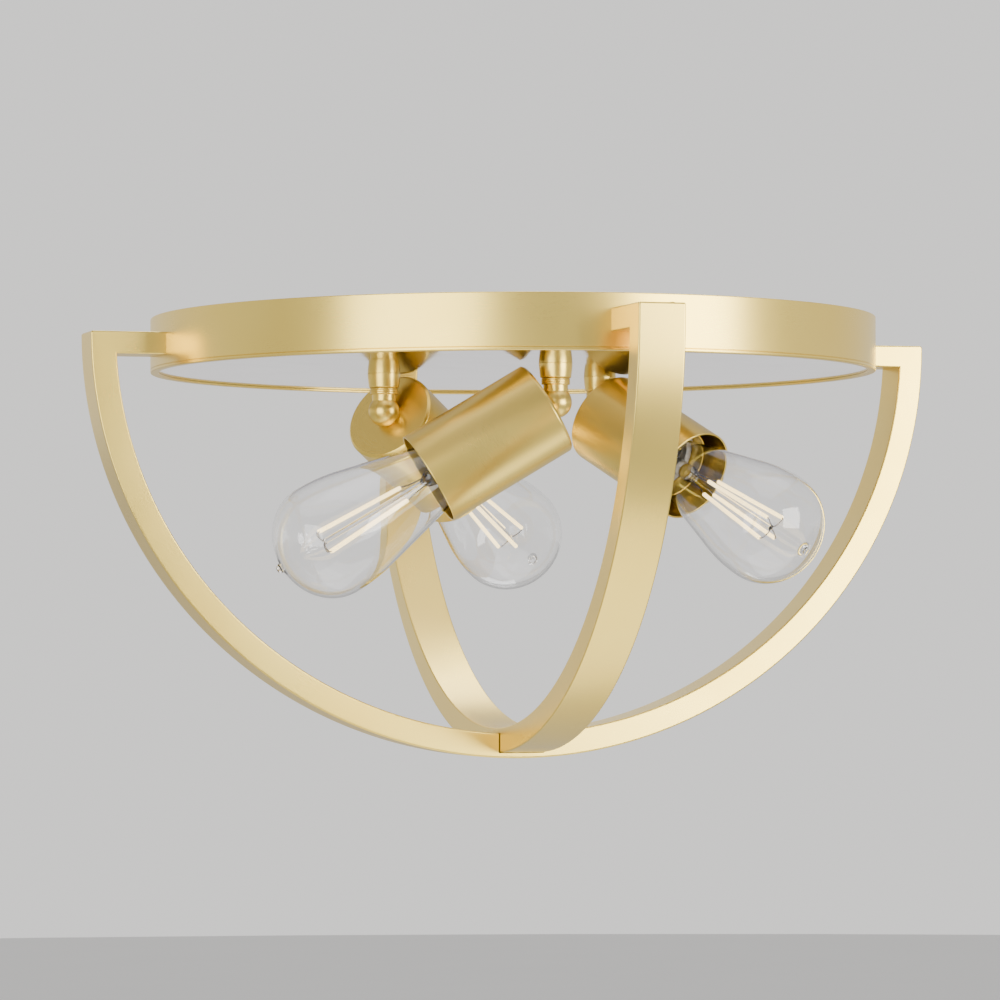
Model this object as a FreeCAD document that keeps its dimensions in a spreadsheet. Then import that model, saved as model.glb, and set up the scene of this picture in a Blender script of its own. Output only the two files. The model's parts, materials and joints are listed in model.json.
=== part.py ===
# Semi flush ceiling light: a shallow round band on the ceiling, two crossed half hoops
# hanging from it, and three swivelling cup lampholders with long clear filament bulbs.
# Millimetres, +Z up. The origin is the centre of the ceiling face, so all lies below z = 0.
import FreeCAD, Part
import math
import os
import re
import Sketcher
from FreeCAD import Placement, Rotation, Vector

X, Y, Z = Vector(1, 0, 0), Vector(0, 1, 0), Vector(0, 0, 1)

SIZES = [
    # band, plate and ceiling pan
    ("band_radius", 182.5),
    ("band_height", 27.0),
    ("band_wall", 1.5),
    ("lip_width", 2.5),
    ("lip_thickness", 1.2),
    ("plate_thickness", 1.5),
    ("plate_play", 0.3),
    ("pan_thickness", 1.2),
    ("pan_flange", 14.0),
    ("pan_play", 0.2),
    ("relief_play", 1.5),
    ("wire_hole_radius", 11.0),
    ("box_screw_spacing", 88.9),
    ("box_slot_radius", 2.6),
    ("box_slot_travel", 9.0),
    ("screw_play", 0.2),
    ("cut_reach", 5.0),
    ("side_screw_radius", 2.0),
    ("side_screw_length", 9.0),
    ("side_head_radius", 4.2),
    ("side_head_height", 2.2),
    ("side_screw_drop", 8.0),
    ("side_screw_bearing", 275.9),
    ("ground_screw_radius", 2.0),
    ("ground_screw_length", 8.0),
    ("ground_head_radius", 3.8),
    ("ground_head_height", 3.0),
    ("ground_screw_out", 62.0),
    # crossed hoops of rectangular tube
    ("hoop_reach", 219.5),
    ("hoop_depth", 210.6),
    ("bar_thickness", 12.5),
    ("bar_width", 23.0),
    ("bar_wall", 1.2),
    ("arm_height", 11.0),
    ("arm_drop", 9.8),
    ("hoop_step", 2.6),
    ("plug_length", 14.0),
    ("plug_play", 0.05),
    ("arm_screw_radius", 2.5),
    ("arm_screw_length", 15.0),
    ("arm_head_radius", 4.6),
    ("arm_head_height", 2.8),
    ("washer_radius", 5.6),
    ("washer_thickness", 1.0),
    # stems
    ("stem_circle", 67.1),
    ("stem_bearing", 150.0),
    ("collar_radius", 8.3),
    ("collar_tip_radius", 7.6),
    ("collar_height", 7.2),
    ("collar_shoulder", 2.6),
    ("swivel_gap", 0.1),
    ("running_play", 0.05),
    ("ring_radius", 7.05),
    ("ring_height", 3.0),
    ("neck_radius", 5.95),
    ("ball_radius", 7.9),
    ("ball_drop", 19.0),
    ("flat_out", 4.8),
    ("thread_radius", 4.0),
    ("thread_play", 0.05),
    ("wire_bore_radius", 2.6),
    ("stem_thread_rise", 9.0),
    ("stem_thread_end", 5.0),
    ("friction_washer_radius", 7.5),
    ("friction_washer_thickness", 0.8),
    ("nut_width", 13.0),
    ("nut_height", 3.0),
    # cups, turned on their stems
    ("lamp_tilt_a", 28.0),
    ("lamp_tilt_b", 31.0),
    ("lamp_tilt_c", 27.5),
    ("lamp_heading_a", 38.9),
    ("lamp_heading_b", 169.0),
    ("lamp_heading_c", 296.8),
    ("cup_radius", 23.9),
    ("cup_length", 68.5),
    ("cup_wall", 1.0),
    ("cup_bevel", 1.6),
    ("side_thread_start", 1.5),
    # lampholder
    ("holder_radius", 18.0),
    ("holder_start", 11.0),
    ("holder_length", 42.0),
    ("holder_floor", 8.0),
    ("side_thread_bite", 5.0),
    ("holder_bore_radius", 14.2),
    ("sleeve_play", 0.1),
    ("sleeve_wall", 0.8),
    ("sleeve_length", 42.0),
    ("shell_radius", 14.0),
    ("shell_wall", 0.5),
    ("shell_length", 27.0),
    ("shell_hole_radius", 9.0),
    ("tab_radius", 4.5),
    ("tab_thickness", 0.8),
    ("tab_rise", 4.6),
    # bulb: medium screw cap and a long clear envelope
    ("cap_radius", 13.1),
    ("cap_length", 24.0),
    ("cap_play", 0.15),
    ("insulator_height", 2.4),
    ("insulator_tip_radius", 6.0),
    ("button_radius", 4.4),
    ("button_height", 1.0),
    ("glass_neck_radius", 12.9),
    ("glass_neck_length", 4.5),
    ("glass_sink", 5.0),
    ("glass_radius", 29.0),
    ("glass_widest", 80.0),
    ("glass_shoulder", 90.0),
    ("glass_dome", 26.0),
    ("glass_wall", 0.9),
    ("glass_tip_radius", 2.4),
    ("glass_tip_length", 2.6),
    ("mount_play", 0.1),
    ("mount_flare_height", 2.0),
    ("mount_tube_radius", 4.2),
    ("mount_tube_length", 31.0),
    ("post_radius", 1.3),
    ("post_length", 56.0),
    ("filament_radius", 1.0),
    ("filament_length", 46.0),
    ("filament_start", 36.0),
    ("filament_foot_out", 5.0),
    ("filament_head_out", 8.0),
    ("filament_wire_radius", 0.4),
]

STEMS = 3
FILAMENTS = 4
SIDE_SCREWS = 3
ARMS = 4
LAMPS = ["a", "b", "c"]

doc = FreeCAD.newDocument("CeilingLight")
sheet = doc.addObject("Spreadsheet::Sheet", "Sizes")
for row, (alias, value) in enumerate(SIZES, start=1):
    sheet.set("A%d" % row, alias)
    sheet.set("B%d" % row, str(value))
    sheet.setAlias("B%d" % row, alias)
doc.recompute()

NAMES = {alias for alias, _ in SIZES}
NODES = []


def bound(formula):
    """The formula with each size written as a reference to its cell."""
    return re.sub(r"[a-z_]+", lambda m: "Sizes." + m.group() if m.group() in NAMES else m.group(), formula)


def size(formula):
    """The number that a formula of sizes comes to."""
    return float(sheet.evalExpression(bound(formula)))


def node(thing, name):
    """Marks an object as a finished sub-part, with the name its file gets."""
    thing.Label = name
    NODES.append(thing)
    return thing


# Shared builders -----------------------------------------------------------------


def origin_plane(body, role):
    return next(f for f in body.Origin.OriginFeatures if f.Role == role)


def outline(body, role, corners):
    """A closed sketch of straight lines, each corner held by two formulas of sizes."""
    sketch = body.newObject("Sketcher::SketchObject", body.Name + "_outline")
    sketch.AttachmentSupport = [(origin_plane(body, role), "")]
    sketch.MapMode = "FlatFace"
    spots = [Vector(size(u), size(v), 0) for u, v in corners]
    count = len(spots)
    for i in range(count):
        sketch.addGeometry(Part.LineSegment(spots[i], spots[(i + 1) % count]), False)
    for i in range(count):
        sketch.addConstraint(Sketcher.Constraint("Coincident", i, 2, (i + 1) % count, 1))
    for i, corner in enumerate(corners):
        for axis, kind, formula in ((-2, "DistanceX", corner[0]), (-1, "DistanceY", corner[1])):
            if formula == "0":
                sketch.addConstraint(Sketcher.Constraint("PointOnObject", i, 1, axis))
                continue
            place = sketch.addConstraint(Sketcher.Constraint(kind, -1, 1, i, 1, size(formula)))
            sketch.setExpression("Constraints[%d]" % place, bound(formula))
    return sketch


def turned(name, corners, placement=None):
    """A piece turned about its own Z axis; corners are (radius, height) formulas."""
    body = doc.addObject("PartDesign::Body", name)
    sketch = outline(body, "XZ_Plane", corners)
    turn = body.newObject("PartDesign::Revolution", name + "_turn")
    turn.Profile = sketch
    turn.ReferenceAxis = (sketch, ["V_Axis"])
    turn.Angle = 360
    sketch.Visibility = False
    if placement:
        body.Placement = placement
    return body


def drum(name, radius, low, high, placement=None):
    """A plain cylinder from one height to another along its own Z axis."""
    thing = doc.addObject("Part::Cylinder", name)
    thing.setExpression("Radius", bound(radius))
    thing.setExpression("Height", bound("(%s) - (%s)" % (high, low)))
    lift = Placement(Vector(0, 0, size(low)), Rotation())
    thing.Placement = placement.multiply(lift) if placement else lift
    return thing


def drill(name, radius, place):
    """A cutter that reaches past both faces of the sheet at its place."""
    return drum(name, radius, "-cut_reach", "cut_reach", place)


def joined(name, things):
    fuse = doc.addObject("Part::MultiFuse", name)
    fuse.Shapes = things
    return fuse


def carved(name, base, tools):
    """The base with every tool taken away."""
    cut = doc.addObject("Part::Cut", name)
    cut.Base = base
    cut.Tool = tools[0] if len(tools) == 1 else joined(name + "_tools", tools)
    return cut


def bundle(name, things):
    group = doc.addObject("Part::Compound", name)
    group.Links = things
    return group


def screw(name, shank, length, head, head_height, placement):
    """A plain screw: head on +Z, shank down -Z from the head's underside at the origin."""
    parts = [
        drum(name + "_head", head, "0", head_height, placement),
        drum(name + "_shank", shank, "-(%s)" % length, "0", placement),
    ]
    return joined(name, parts)


def hex_nut(name, low, hole, placement):
    """A hexagon nut standing on a height of its own Z axis."""
    prism = doc.addObject("Part::Prism", name + "_prism")
    prism.Polygon = 6
    prism.setExpression("Circumradius", bound("nut_width / 2 / cos(30)"))
    prism.setExpression("Height", bound("nut_height"))
    prism.Placement = placement.multiply(Placement(Vector(0, 0, size(low)), Rotation()))
    bore = drum(name + "_bore", hole, "(%s) - 1" % low, "(%s) + nut_height + 1" % low, placement)
    return carved(name, prism, [bore])


def ellipse(centre, across, along):
    """An ellipse from its centre and two half axes, whichever of them is the longer."""
    first, second = (across, along) if across.Length >= along.Length else (along, across)
    return Part.Ellipse(centre + first, centre + second, centre)


def outward(bearing, radius, height):
    """A placement on a circle about Z whose own Z axis points outward."""
    turn = Rotation(Z, bearing).multiply(Rotation(Y, 90))
    spot = Rotation(Z, bearing).multVec(Vector(radius, 0, height))
    return Placement(spot, turn)


# Band, plate and ceiling pan -----------------------------------------------------

PLATE_BOTTOM = "lip_thickness - band_height"
PLATE_TOP = PLATE_BOTTOM + " + plate_thickness"
BAND_INSIDE = "band_radius - band_wall"
PAN_OUTSIDE = BAND_INSIDE + " - pan_play"
ARM_MIDDLE = "-arm_drop - arm_height / 2"


def arm_bearings():
    return [360.0 / ARMS * i for i in range(ARMS)]


def side_bearings():
    first = size("side_screw_bearing")
    return [first + 360.0 / SIDE_SCREWS * i for i in range(SIDE_SCREWS)]


def arm_lift(bearing):
    """The upper hoop's arms, front and back, sit one step above the lower hoop's."""
    return size("hoop_step") if bearing % 180 == 90 else 0.0


def drum_band():
    """Round side wall with a narrow rolled lip turned in under the plate."""
    ring = turned("band_ring", [
        (BAND_INSIDE, "0"),
        ("band_radius", "0"),
        ("band_radius", "-band_height"),
        (BAND_INSIDE + " - lip_width", "-band_height"),
        (BAND_INSIDE + " - lip_width", PLATE_BOTTOM),
        (BAND_INSIDE, PLATE_BOTTOM),
    ])
    holes = []
    for i, bearing in enumerate(side_bearings()):
        place = outward(bearing, size("band_radius"), -size("side_screw_drop"))
        holes.append(drill("band_side_hole_%d" % i, "side_screw_radius + screw_play", place))
    for i, bearing in enumerate(arm_bearings()):
        place = outward(bearing, size("band_radius"), size(ARM_MIDDLE) + arm_lift(bearing))
        holes.append(drill("band_arm_hole_%d" % i, "arm_screw_radius + screw_play", place))
    return node(carved("band", ring, holes), "drum_band")


def mirror_plate():
    """Polished plate lying on the band's lip, with one hole for each stem."""
    disc = drum("plate_disc", BAND_INSIDE + " - plate_play", PLATE_BOTTOM, PLATE_TOP)
    holes = []
    for i in range(STEMS):
        place = Placement(stem_spot(i) + Z * size(PLATE_BOTTOM), Rotation())
        holes.append(drill("plate_hole_%d" % i, "thread_radius + screw_play", place))
    return node(carved("plate", disc, holes), "mirror_plate")


def slot_tool(name, side):
    """A long hole through the pan, running along X."""
    middle = side * size("box_screw_spacing") / 2
    half = size("box_slot_travel") / 2
    ends = []
    for i, shift in enumerate((-half, half)):
        place = Placement(Vector(middle + shift, 0, 0), Rotation())
        ends.append(drill("%s_end_%d" % (name, i), "box_slot_radius", place))
    web = doc.addObject("Part::Box", name + "_web")
    web.setExpression("Length", bound("box_slot_travel"))
    web.setExpression("Width", bound("box_slot_radius * 2"))
    web.setExpression("Height", bound("cut_reach * 2"))
    corner = Vector(middle - half, -size("box_slot_radius"), -size("cut_reach"))
    web.Placement = Placement(corner, Rotation())
    return joined(name, ends + [web])


def pan_relief(name, bearing):
    """A notch in the pan's flange that clears the washer and screw of an arm."""
    half = size("washer_radius + relief_play")
    high = size(ARM_MIDDLE) + arm_lift(bearing) + half
    relief = doc.addObject("Part::Box", name)
    relief.setExpression("Length", bound("pan_thickness * 6"))
    relief.setExpression("Width", bound("2 * (washer_radius + relief_play)"))
    relief.Height = high + size("pan_flange + 1")
    corner = Vector(size(PAN_OUTSIDE + " - pan_thickness * 4"), -half, -size("pan_flange + 1"))
    relief.Placement = Placement(Vector(), Rotation(Z, bearing)).multiply(Placement(corner, Rotation()))
    return relief


def ceiling_pan():
    """Steel pan screwed to the ceiling box; the band slips over its turned-down flange."""
    shell = turned("pan_shell", [
        ("wire_hole_radius", "0"),
        (PAN_OUTSIDE, "0"),
        (PAN_OUTSIDE, "-pan_flange"),
        (PAN_OUTSIDE + " - pan_thickness", "-pan_flange"),
        (PAN_OUTSIDE + " - pan_thickness", "-pan_thickness"),
        ("wire_hole_radius", "-pan_thickness"),
    ])
    tools = [slot_tool("pan_slot_left", -1), slot_tool("pan_slot_right", 1)]
    ground = Placement(Vector(0, size("ground_screw_out"), 0), Rotation())
    tools.append(drill("pan_ground_hole", "ground_screw_radius + thread_play", ground))
    for i, bearing in enumerate(side_bearings()):
        place = outward(bearing, size(PAN_OUTSIDE), -size("side_screw_drop"))
        tools.append(drill("pan_side_hole_%d" % i, "side_screw_radius + thread_play", place))
    for i, bearing in enumerate(arm_bearings()):
        tools.append(pan_relief("pan_relief_%d" % i, bearing))
    return node(carved("pan", shell, tools), "ceiling_pan")


def side_screws():
    """Three screws through the band's wall into the pan's flange."""
    screws = []
    for i, bearing in enumerate(side_bearings()):
        place = outward(bearing, size("band_radius + 0.1"), -size("side_screw_drop"))
        screws.append(screw("side_screw_%d" % i, "side_screw_radius", "side_screw_length",
                            "side_head_radius", "side_head_height", place))
    return node(bundle("side_screw_set", screws), "side_screws")


def ground_screw():
    """Earth screw in the pan, its head on the room side."""
    place = Placement(Vector(0, size("ground_screw_out"), -size("pan_thickness")), Rotation(X, 180))
    return node(screw("earth", "ground_screw_radius", "pan_thickness",
                      "ground_head_radius", "ground_head_height", place), "ground_screw")


# Crossed hoops -------------------------------------------------------------------


def hoop_slab(reach, depth, top, width):
    """Half ellipse below z = top, from end to end along X, with a width along Y."""
    face = Part.Face(Part.Wire([ellipse(Z * top, X * reach, Z * depth).toShape()]))
    slab = face.extrude(Y * width)
    slab.translate(Y * (-width / 2))
    lid = Part.makeBox(2 * reach + 2, width + 2, depth + 2, Vector(-reach - 1, -width / 2 - 1, top))
    return slab.cut(lid)


def arm_bar(inner, outer, low, high, width, side):
    """Straight bar of an arm on one side, along X."""
    left = inner if side > 0 else -outer
    return Part.makeBox(outer - inner, width, high - low, Vector(left, -width / 2, low))


def hoop_body(inset):
    """The hoop with its two arms; an inset gives the hollow inside its walls."""
    top = -size("arm_drop") - inset
    low = -size("arm_drop + arm_height") + inset
    reach = size("hoop_reach") - inset
    depth = size("hoop_depth") - inset
    thick = size("bar_thickness") - 2 * inset
    width = size("bar_width") - 2 * inset
    start = size("band_radius - band_wall * 2")
    slab = hoop_slab(reach, depth, top, width)
    slab = slab.cut(hoop_slab(reach - thick, depth - thick, top, width + 2))
    over = Part.makeBox(2 * start, width + 2, size("hoop_depth"), Vector(-start, -width / 2 - 1, low))
    arms = [arm_bar(start, reach - thick / 2, low, top, width, side) for side in (-1, 1)]
    return slab.cut(over).fuse(arms).removeSplitter()


def hoop(name, label, bearing, lift, crossing=None):
    """One hoop of rectangular tube, its arms coped to the round band."""
    full = hoop_body(0.0)
    tube = full.cut(hoop_body(size("bar_wall")))
    drum_side = Part.makeCylinder(size("band_radius"), 4 * size("band_height"),
                                  Vector(0, 0, -3 * size("band_height")))
    turn = Placement(Vector(0, 0, lift), Rotation(Z, bearing))
    shape = tube.cut(drum_side)
    shape.Placement = turn
    outer = full.copy()
    outer.Placement = turn
    if crossing is not None:
        shape = shape.cut(crossing)
    thing = doc.addObject("Part::Feature", name)
    thing.Shape = shape
    node(thing, label)
    return outer


def hoops():
    """The upper hoop runs through a notch cut in the top of the lower one."""
    upper = hoop("hoop_front_back", "hoop_upper", 90, size("hoop_step"))
    hoop("hoop_left_right", "hoop_lower", 0, 0.0, upper)


def arm_fasteners():
    """A threaded plug in each arm's end, held by a screw and washer from inside the band."""
    plugs, screws, washers = [], [], []
    for i, bearing in enumerate(arm_bearings()):
        height = size(ARM_MIDDLE) + arm_lift(bearing)
        seat = outward(bearing, size("band_radius"), height)
        plug = doc.addObject("Part::Box", "plug_block_%d" % i)
        plug.setExpression("Length", bound("arm_height - 2 * bar_wall - 2 * plug_play"))
        plug.setExpression("Width", bound("bar_width - 2 * bar_wall - 2 * plug_play"))
        plug.setExpression("Height", bound("plug_length"))
        corner = Vector(-size("arm_height / 2 - bar_wall - plug_play"),
                        -size("bar_width / 2 - bar_wall - plug_play"), 0.1)
        plug.Placement = seat.multiply(Placement(corner, Rotation()))
        bore = drum("plug_bore_%d" % i, "arm_screw_radius + thread_play", "-1", "arm_screw_length", seat)
        plugs.append(carved("plug_%d" % i, plug, [bore]))
        inside = outward(bearing, size(BAND_INSIDE) - washer_bow(), height)
        inward = inside.multiply(Placement(Vector(), Rotation(X, 180)))
        washer = turned("washer_%d" % i, [
            ("arm_screw_radius + screw_play", "0"),
            ("washer_radius", "0"),
            ("washer_radius", "washer_thickness"),
            ("arm_screw_radius + screw_play", "washer_thickness"),
        ], inward)
        washers.append(washer)
        under_head = inward.multiply(Placement(Z * size("washer_thickness"), Rotation()))
        screws.append(screw("arm_screw_%d" % i, "arm_screw_radius", "arm_screw_length",
                            "arm_head_radius", "arm_head_height", under_head))
    node(bundle("plug_set", plugs), "arm_plugs")
    node(bundle("arm_screw_set", screws), "arm_screws")
    node(bundle("washer_set", washers), "arm_washers")


def washer_bow():
    """How far a flat washer stands off the band's hollow inside at its rim."""
    inside = size(BAND_INSIDE)
    return inside - math.sqrt(inside ** 2 - size("washer_radius") ** 2)


# Stems and swivels ---------------------------------------------------------------


def stem_bearing(i):
    return size("stem_bearing") + 360.0 / STEMS * i


def stem_spot(i):
    """The stem's axis where it meets the plane z = 0."""
    angle = math.radians(stem_bearing(i))
    return Vector(math.cos(angle), math.sin(angle), 0) * size("stem_circle")


def stem_frame(i):
    return Placement(stem_spot(i), Rotation())


def lamp_frame(i):
    """Origin at the ball's centre, own Z axis along the cup and bulb, pointing out of the cup."""
    centre = stem_spot(i) + Z * size(PLATE_BOTTOM + " - ball_drop")
    heading = size("lamp_heading_" + LAMPS[i])
    tilt = size("lamp_tilt_" + LAMPS[i])
    return Placement(centre, Rotation(Z, heading).multiply(Rotation(Y, 90 + tilt)))


def collar(i):
    """Turned collar under the plate, straight at its shoulder and tapering down from there."""
    top, tip = PLATE_BOTTOM, PLATE_BOTTOM + " - collar_height"
    return node(turned("collar_body_" + LAMPS[i], [
        ("thread_radius + running_play", top),
        ("collar_radius", top),
        ("collar_radius", top + " - collar_shoulder"),
        ("collar_tip_radius", tip),
        ("thread_radius + running_play", tip),
    ], stem_frame(i)), "collar_" + LAMPS[i])


def friction_washers():
    """A washer on the plate under each stem's nut."""
    rings = []
    for i in range(STEMS):
        rings.append(turned("friction_ring_" + LAMPS[i], [
            ("thread_radius + running_play", PLATE_TOP),
            ("friction_washer_radius", PLATE_TOP),
            ("friction_washer_radius", PLATE_TOP + " + friction_washer_thickness"),
            ("thread_radius + running_play", PLATE_TOP + " + friction_washer_thickness"),
        ], stem_frame(i)))
    return node(bundle("friction_set", rings), "friction_washers")


def swivel_nut(i):
    low = PLATE_TOP + " + friction_washer_thickness + swivel_gap"
    return node(hex_nut("swivel_hex_" + LAMPS[i], low, "thread_radius + thread_play", stem_frame(i)),
                "swivel_nut_" + LAMPS[i])


def stem_tube(i):
    """Threaded tube from above the plate down into the elbow; the wires run through it."""
    low = PLATE_BOTTOM + " - ball_drop + stem_thread_end"
    high = PLATE_TOP + " + stem_thread_rise"
    return node(turned("stem_thread_" + LAMPS[i], [
        ("wire_bore_radius", low),
        ("thread_radius", low),
        ("thread_radius", high),
        ("wire_bore_radius", high),
    ], stem_frame(i)), "stem_tube_" + LAMPS[i])


def ball_elbow(i):
    """Ring, short neck and ball, bored from above and from the side, with a flat for the cup."""
    tag = LAMPS[i]
    stem, lamp = stem_frame(i), lamp_frame(i)
    ring_top = PLATE_BOTTOM + " - collar_height - swivel_gap"
    ring_low = PLATE_BOTTOM + " - collar_height - ring_height"
    middle = PLATE_BOTTOM + " - ball_drop"
    ball = doc.addObject("Part::Sphere", "ball_" + tag)
    ball.setExpression("Radius", bound("ball_radius"))
    ball.Placement = Placement(stem_spot(i) + Z * size(middle), Rotation())
    ring = drum("ring_" + tag, "ring_radius", ring_low, ring_top, stem)
    neck = drum("neck_" + tag, "neck_radius", middle, ring_low, stem)
    flat = doc.addObject("Part::Box", "flat_" + tag)
    for side in ("Length", "Width", "Height"):
        flat.setExpression(side, bound("ball_radius * 3"))
    half = size("ball_radius * 1.5")
    flat.Placement = lamp.multiply(Placement(Vector(-half, -half, size("flat_out")), Rotation()))
    bore = "thread_radius + thread_play"
    down = drum("down_bore_" + tag, bore, middle, ring_top + " + 1", stem)
    side = drum("side_bore_" + tag, bore, "0", "flat_out + 1", lamp)
    body = joined("elbow_solid_" + tag, [ring, neck, ball])
    return node(carved("elbow_" + tag, body, [flat, down, side]), "ball_elbow_" + tag)


# Cups and lampholders, drawn along the lamp's own axis ---------------------------

CUP_INSIDE = "flat_out + cup_wall"
HOLDER_END = "holder_start + holder_length"
FLOOR = "holder_start + holder_floor"
BUTTON = FLOOR + " + tab_rise"
CAP_LOW = BUTTON + " + button_height + insulator_height"
CAP_HIGH = CAP_LOW + " + cap_length"


def side_tube(i):
    """Threaded tube that clamps the cup to the ball and carries the lampholder."""
    high = "holder_start + side_thread_bite"
    return node(turned("side_thread_" + LAMPS[i], [
        ("wire_bore_radius", "side_thread_start"),
        ("thread_radius", "side_thread_start"),
        ("thread_radius", high),
        ("wire_bore_radius", high),
    ], lamp_frame(i)), "side_tube_" + LAMPS[i])


def cup(i):
    """Spun cup with a bevelled closed end and an open rim."""
    low, rim = "flat_out", "flat_out + cup_length"
    inside = "cup_radius - cup_wall"
    return node(turned("cup_body_" + LAMPS[i], [
        ("thread_radius + thread_play", low),
        ("cup_radius - cup_bevel", low),
        ("cup_radius", low + " + cup_bevel"),
        ("cup_radius", rim),
        (inside, rim),
        (inside, low + " + cup_bevel + cup_wall * tan(22.5)"),
        ("cup_radius - cup_bevel - cup_wall * tan(22.5)", CUP_INSIDE),
        ("thread_radius + thread_play", CUP_INSIDE),
    ], lamp_frame(i)), "cup_" + LAMPS[i])


def cup_nut(i):
    return node(hex_nut("cup_hex_" + LAMPS[i], CUP_INSIDE, "thread_radius + thread_play", lamp_frame(i)),
                "cup_nut_" + LAMPS[i])


def lampholder(i):
    """Moulded body with a floor that screws on the side tube and a round well for the shell."""
    return node(turned("holder_body_" + LAMPS[i], [
        ("thread_radius + thread_play", "holder_start"),
        ("holder_radius * 0.72", "holder_start"),
        ("holder_radius", "holder_start + holder_floor"),
        ("holder_radius", HOLDER_END),
        ("holder_bore_radius", HOLDER_END),
        ("holder_bore_radius", FLOOR),
        ("thread_radius + thread_play", FLOOR),
    ], lamp_frame(i)), "lampholder_" + LAMPS[i])


def holder_sleeve(i):
    """Thin metal sleeve round the lampholder's body, standing out past its mouth."""
    low, high = "holder_start + holder_floor", "holder_start + holder_floor + sleeve_length"
    inside = "holder_radius + sleeve_play"
    return node(turned("sleeve_body_" + LAMPS[i], [
        (inside, low),
        (inside + " + sleeve_wall", low),
        (inside + " + sleeve_wall", high),
        (inside, high),
    ], lamp_frame(i)), "holder_sleeve_" + LAMPS[i])


def screw_shell(i):
    """Thin metal shell in the well, where the bulb's cap screws in."""
    low, high = FLOOR, FLOOR + " + shell_length"
    inside = "shell_radius - shell_wall"
    return node(turned("shell_body_" + LAMPS[i], [
        ("shell_hole_radius", low),
        ("shell_radius", low),
        ("shell_radius", high),
        (inside, high),
        (inside, low + " + shell_wall"),
        ("shell_hole_radius", low + " + shell_wall"),
    ], lamp_frame(i)), "screw_shell_" + LAMPS[i])


def centre_tab(i):
    """Sprung tab on the floor of the well, touching the bulb's button."""
    high = BUTTON + " - swivel_gap"
    return node(turned("tab_body_" + LAMPS[i], [
        ("0", FLOOR + " + 0.1"),
        ("thread_radius + 2 * tab_thickness", FLOOR + " + 0.1"),
        ("thread_radius + 2 * tab_thickness", FLOOR + " + 0.1 + tab_thickness"),
        ("tab_radius", high),
        ("0", high),
    ], lamp_frame(i)), "centre_tab_" + LAMPS[i])


# Bulbs ---------------------------------------------------------------------------


def bulb_button(i):
    """Contact button and the black glass insulator round it."""
    step = BUTTON + " + button_height"
    return node(turned("button_body_" + LAMPS[i], [
        ("0", BUTTON),
        ("button_radius", BUTTON),
        ("button_radius", step),
        ("insulator_tip_radius", step),
        ("cap_radius - 2", CAP_LOW + " - swivel_gap"),
        ("0", CAP_LOW + " - swivel_gap"),
    ], lamp_frame(i)), "bulb_button_" + LAMPS[i])


def bulb_cap(i):
    """Screw cap, open at the top where the glass is cemented in."""
    wall = "cap_radius - shell_wall"
    return node(turned("cap_body_" + LAMPS[i], [
        ("0", CAP_LOW),
        ("cap_radius - 1.5", CAP_LOW),
        ("cap_radius", CAP_LOW + " + 1.5"),
        ("cap_radius", CAP_HIGH),
        ("glass_neck_radius + cap_play", CAP_HIGH),
        ("glass_neck_radius + cap_play", CAP_HIGH + " - glass_sink"),
        (wall, CAP_HIGH + " - glass_sink"),
        (wall, CAP_LOW + " + 2"),
        ("0", CAP_LOW + " + 2"),
    ], lamp_frame(i)), "bulb_cap_" + LAMPS[i])


def glass_side(inset, end_radius):
    """Side of the envelope from foot to dome: neck, straight cone, shoulder arc, dome arc."""
    neck = Vector(size("glass_neck_radius") - inset, 0, size(CAP_HIGH + " + glass_neck_length"))
    foot = Vector(neck.x, 0, size(CAP_HIGH + " - glass_sink"))
    widest = Vector(size("glass_radius") - inset, 0, size(CAP_HIGH + " + glass_widest"))
    bend = size("glass_shoulder") - inset
    centre = widest - X * bend
    to_centre = centre - neck
    reach = math.sqrt(to_centre.Length ** 2 - bend ** 2)
    lean = math.atan2(to_centre.x, to_centre.z) + math.atan2(bend, reach)
    tangent = neck + Vector(math.sin(lean), 0, math.cos(lean)) * reach
    half = math.atan2(tangent.z - centre.z, tangent.x - centre.x) / 2
    crest = centre + Vector(math.cos(half), 0, math.sin(half)) * bend
    middle = Vector(0, 0, widest.z)
    dome = size("glass_dome") - inset
    end = middle + X * end_radius + Z * dome * math.sqrt(1 - (end_radius / widest.x) ** 2)
    way = ellipse(middle, X * widest.x, Z * dome)
    turns = sorted([way.parameter(widest), way.parameter(end)])
    if turns[1] - turns[0] > math.pi:
        turns = [turns[1], turns[0] + 2 * math.pi]
    edges = [
        Part.LineSegment(foot, neck).toShape(),
        Part.LineSegment(neck, tangent).toShape(),
        Part.Arc(tangent, crest, widest).toShape(),
        Part.ArcOfEllipse(way, turns[0], turns[1]).toShape(),
    ]
    return edges, foot, end


def bulb_glass(i):
    """Clear envelope, open at its foot, with the sealed tip left by its making."""
    tip = size("glass_tip_radius")
    outer, foot_out, end_out = glass_side(0.0, tip)
    inner, foot_in, end_in = glass_side(size("glass_wall"), 0.0)
    tip_top = end_out + Z * size("glass_tip_length") - X * tip * 2 / 3
    pole = Vector(0, 0, tip_top.z)
    ring = [Part.LineSegment(a, b).toShape()
            for a, b in ((end_out, tip_top), (tip_top, pole), (pole, end_in), (foot_in, foot_out))]
    wire = Part.Wire(Part.__sortEdges__(outer + inner + ring))
    thing = doc.addObject("Part::Feature", "glass_body_" + LAMPS[i])
    thing.Shape = Part.Face(wire).revolve(Vector(), Z, 360)
    thing.Placement = lamp_frame(i)
    return node(thing, "bulb_glass_" + LAMPS[i])


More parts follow.
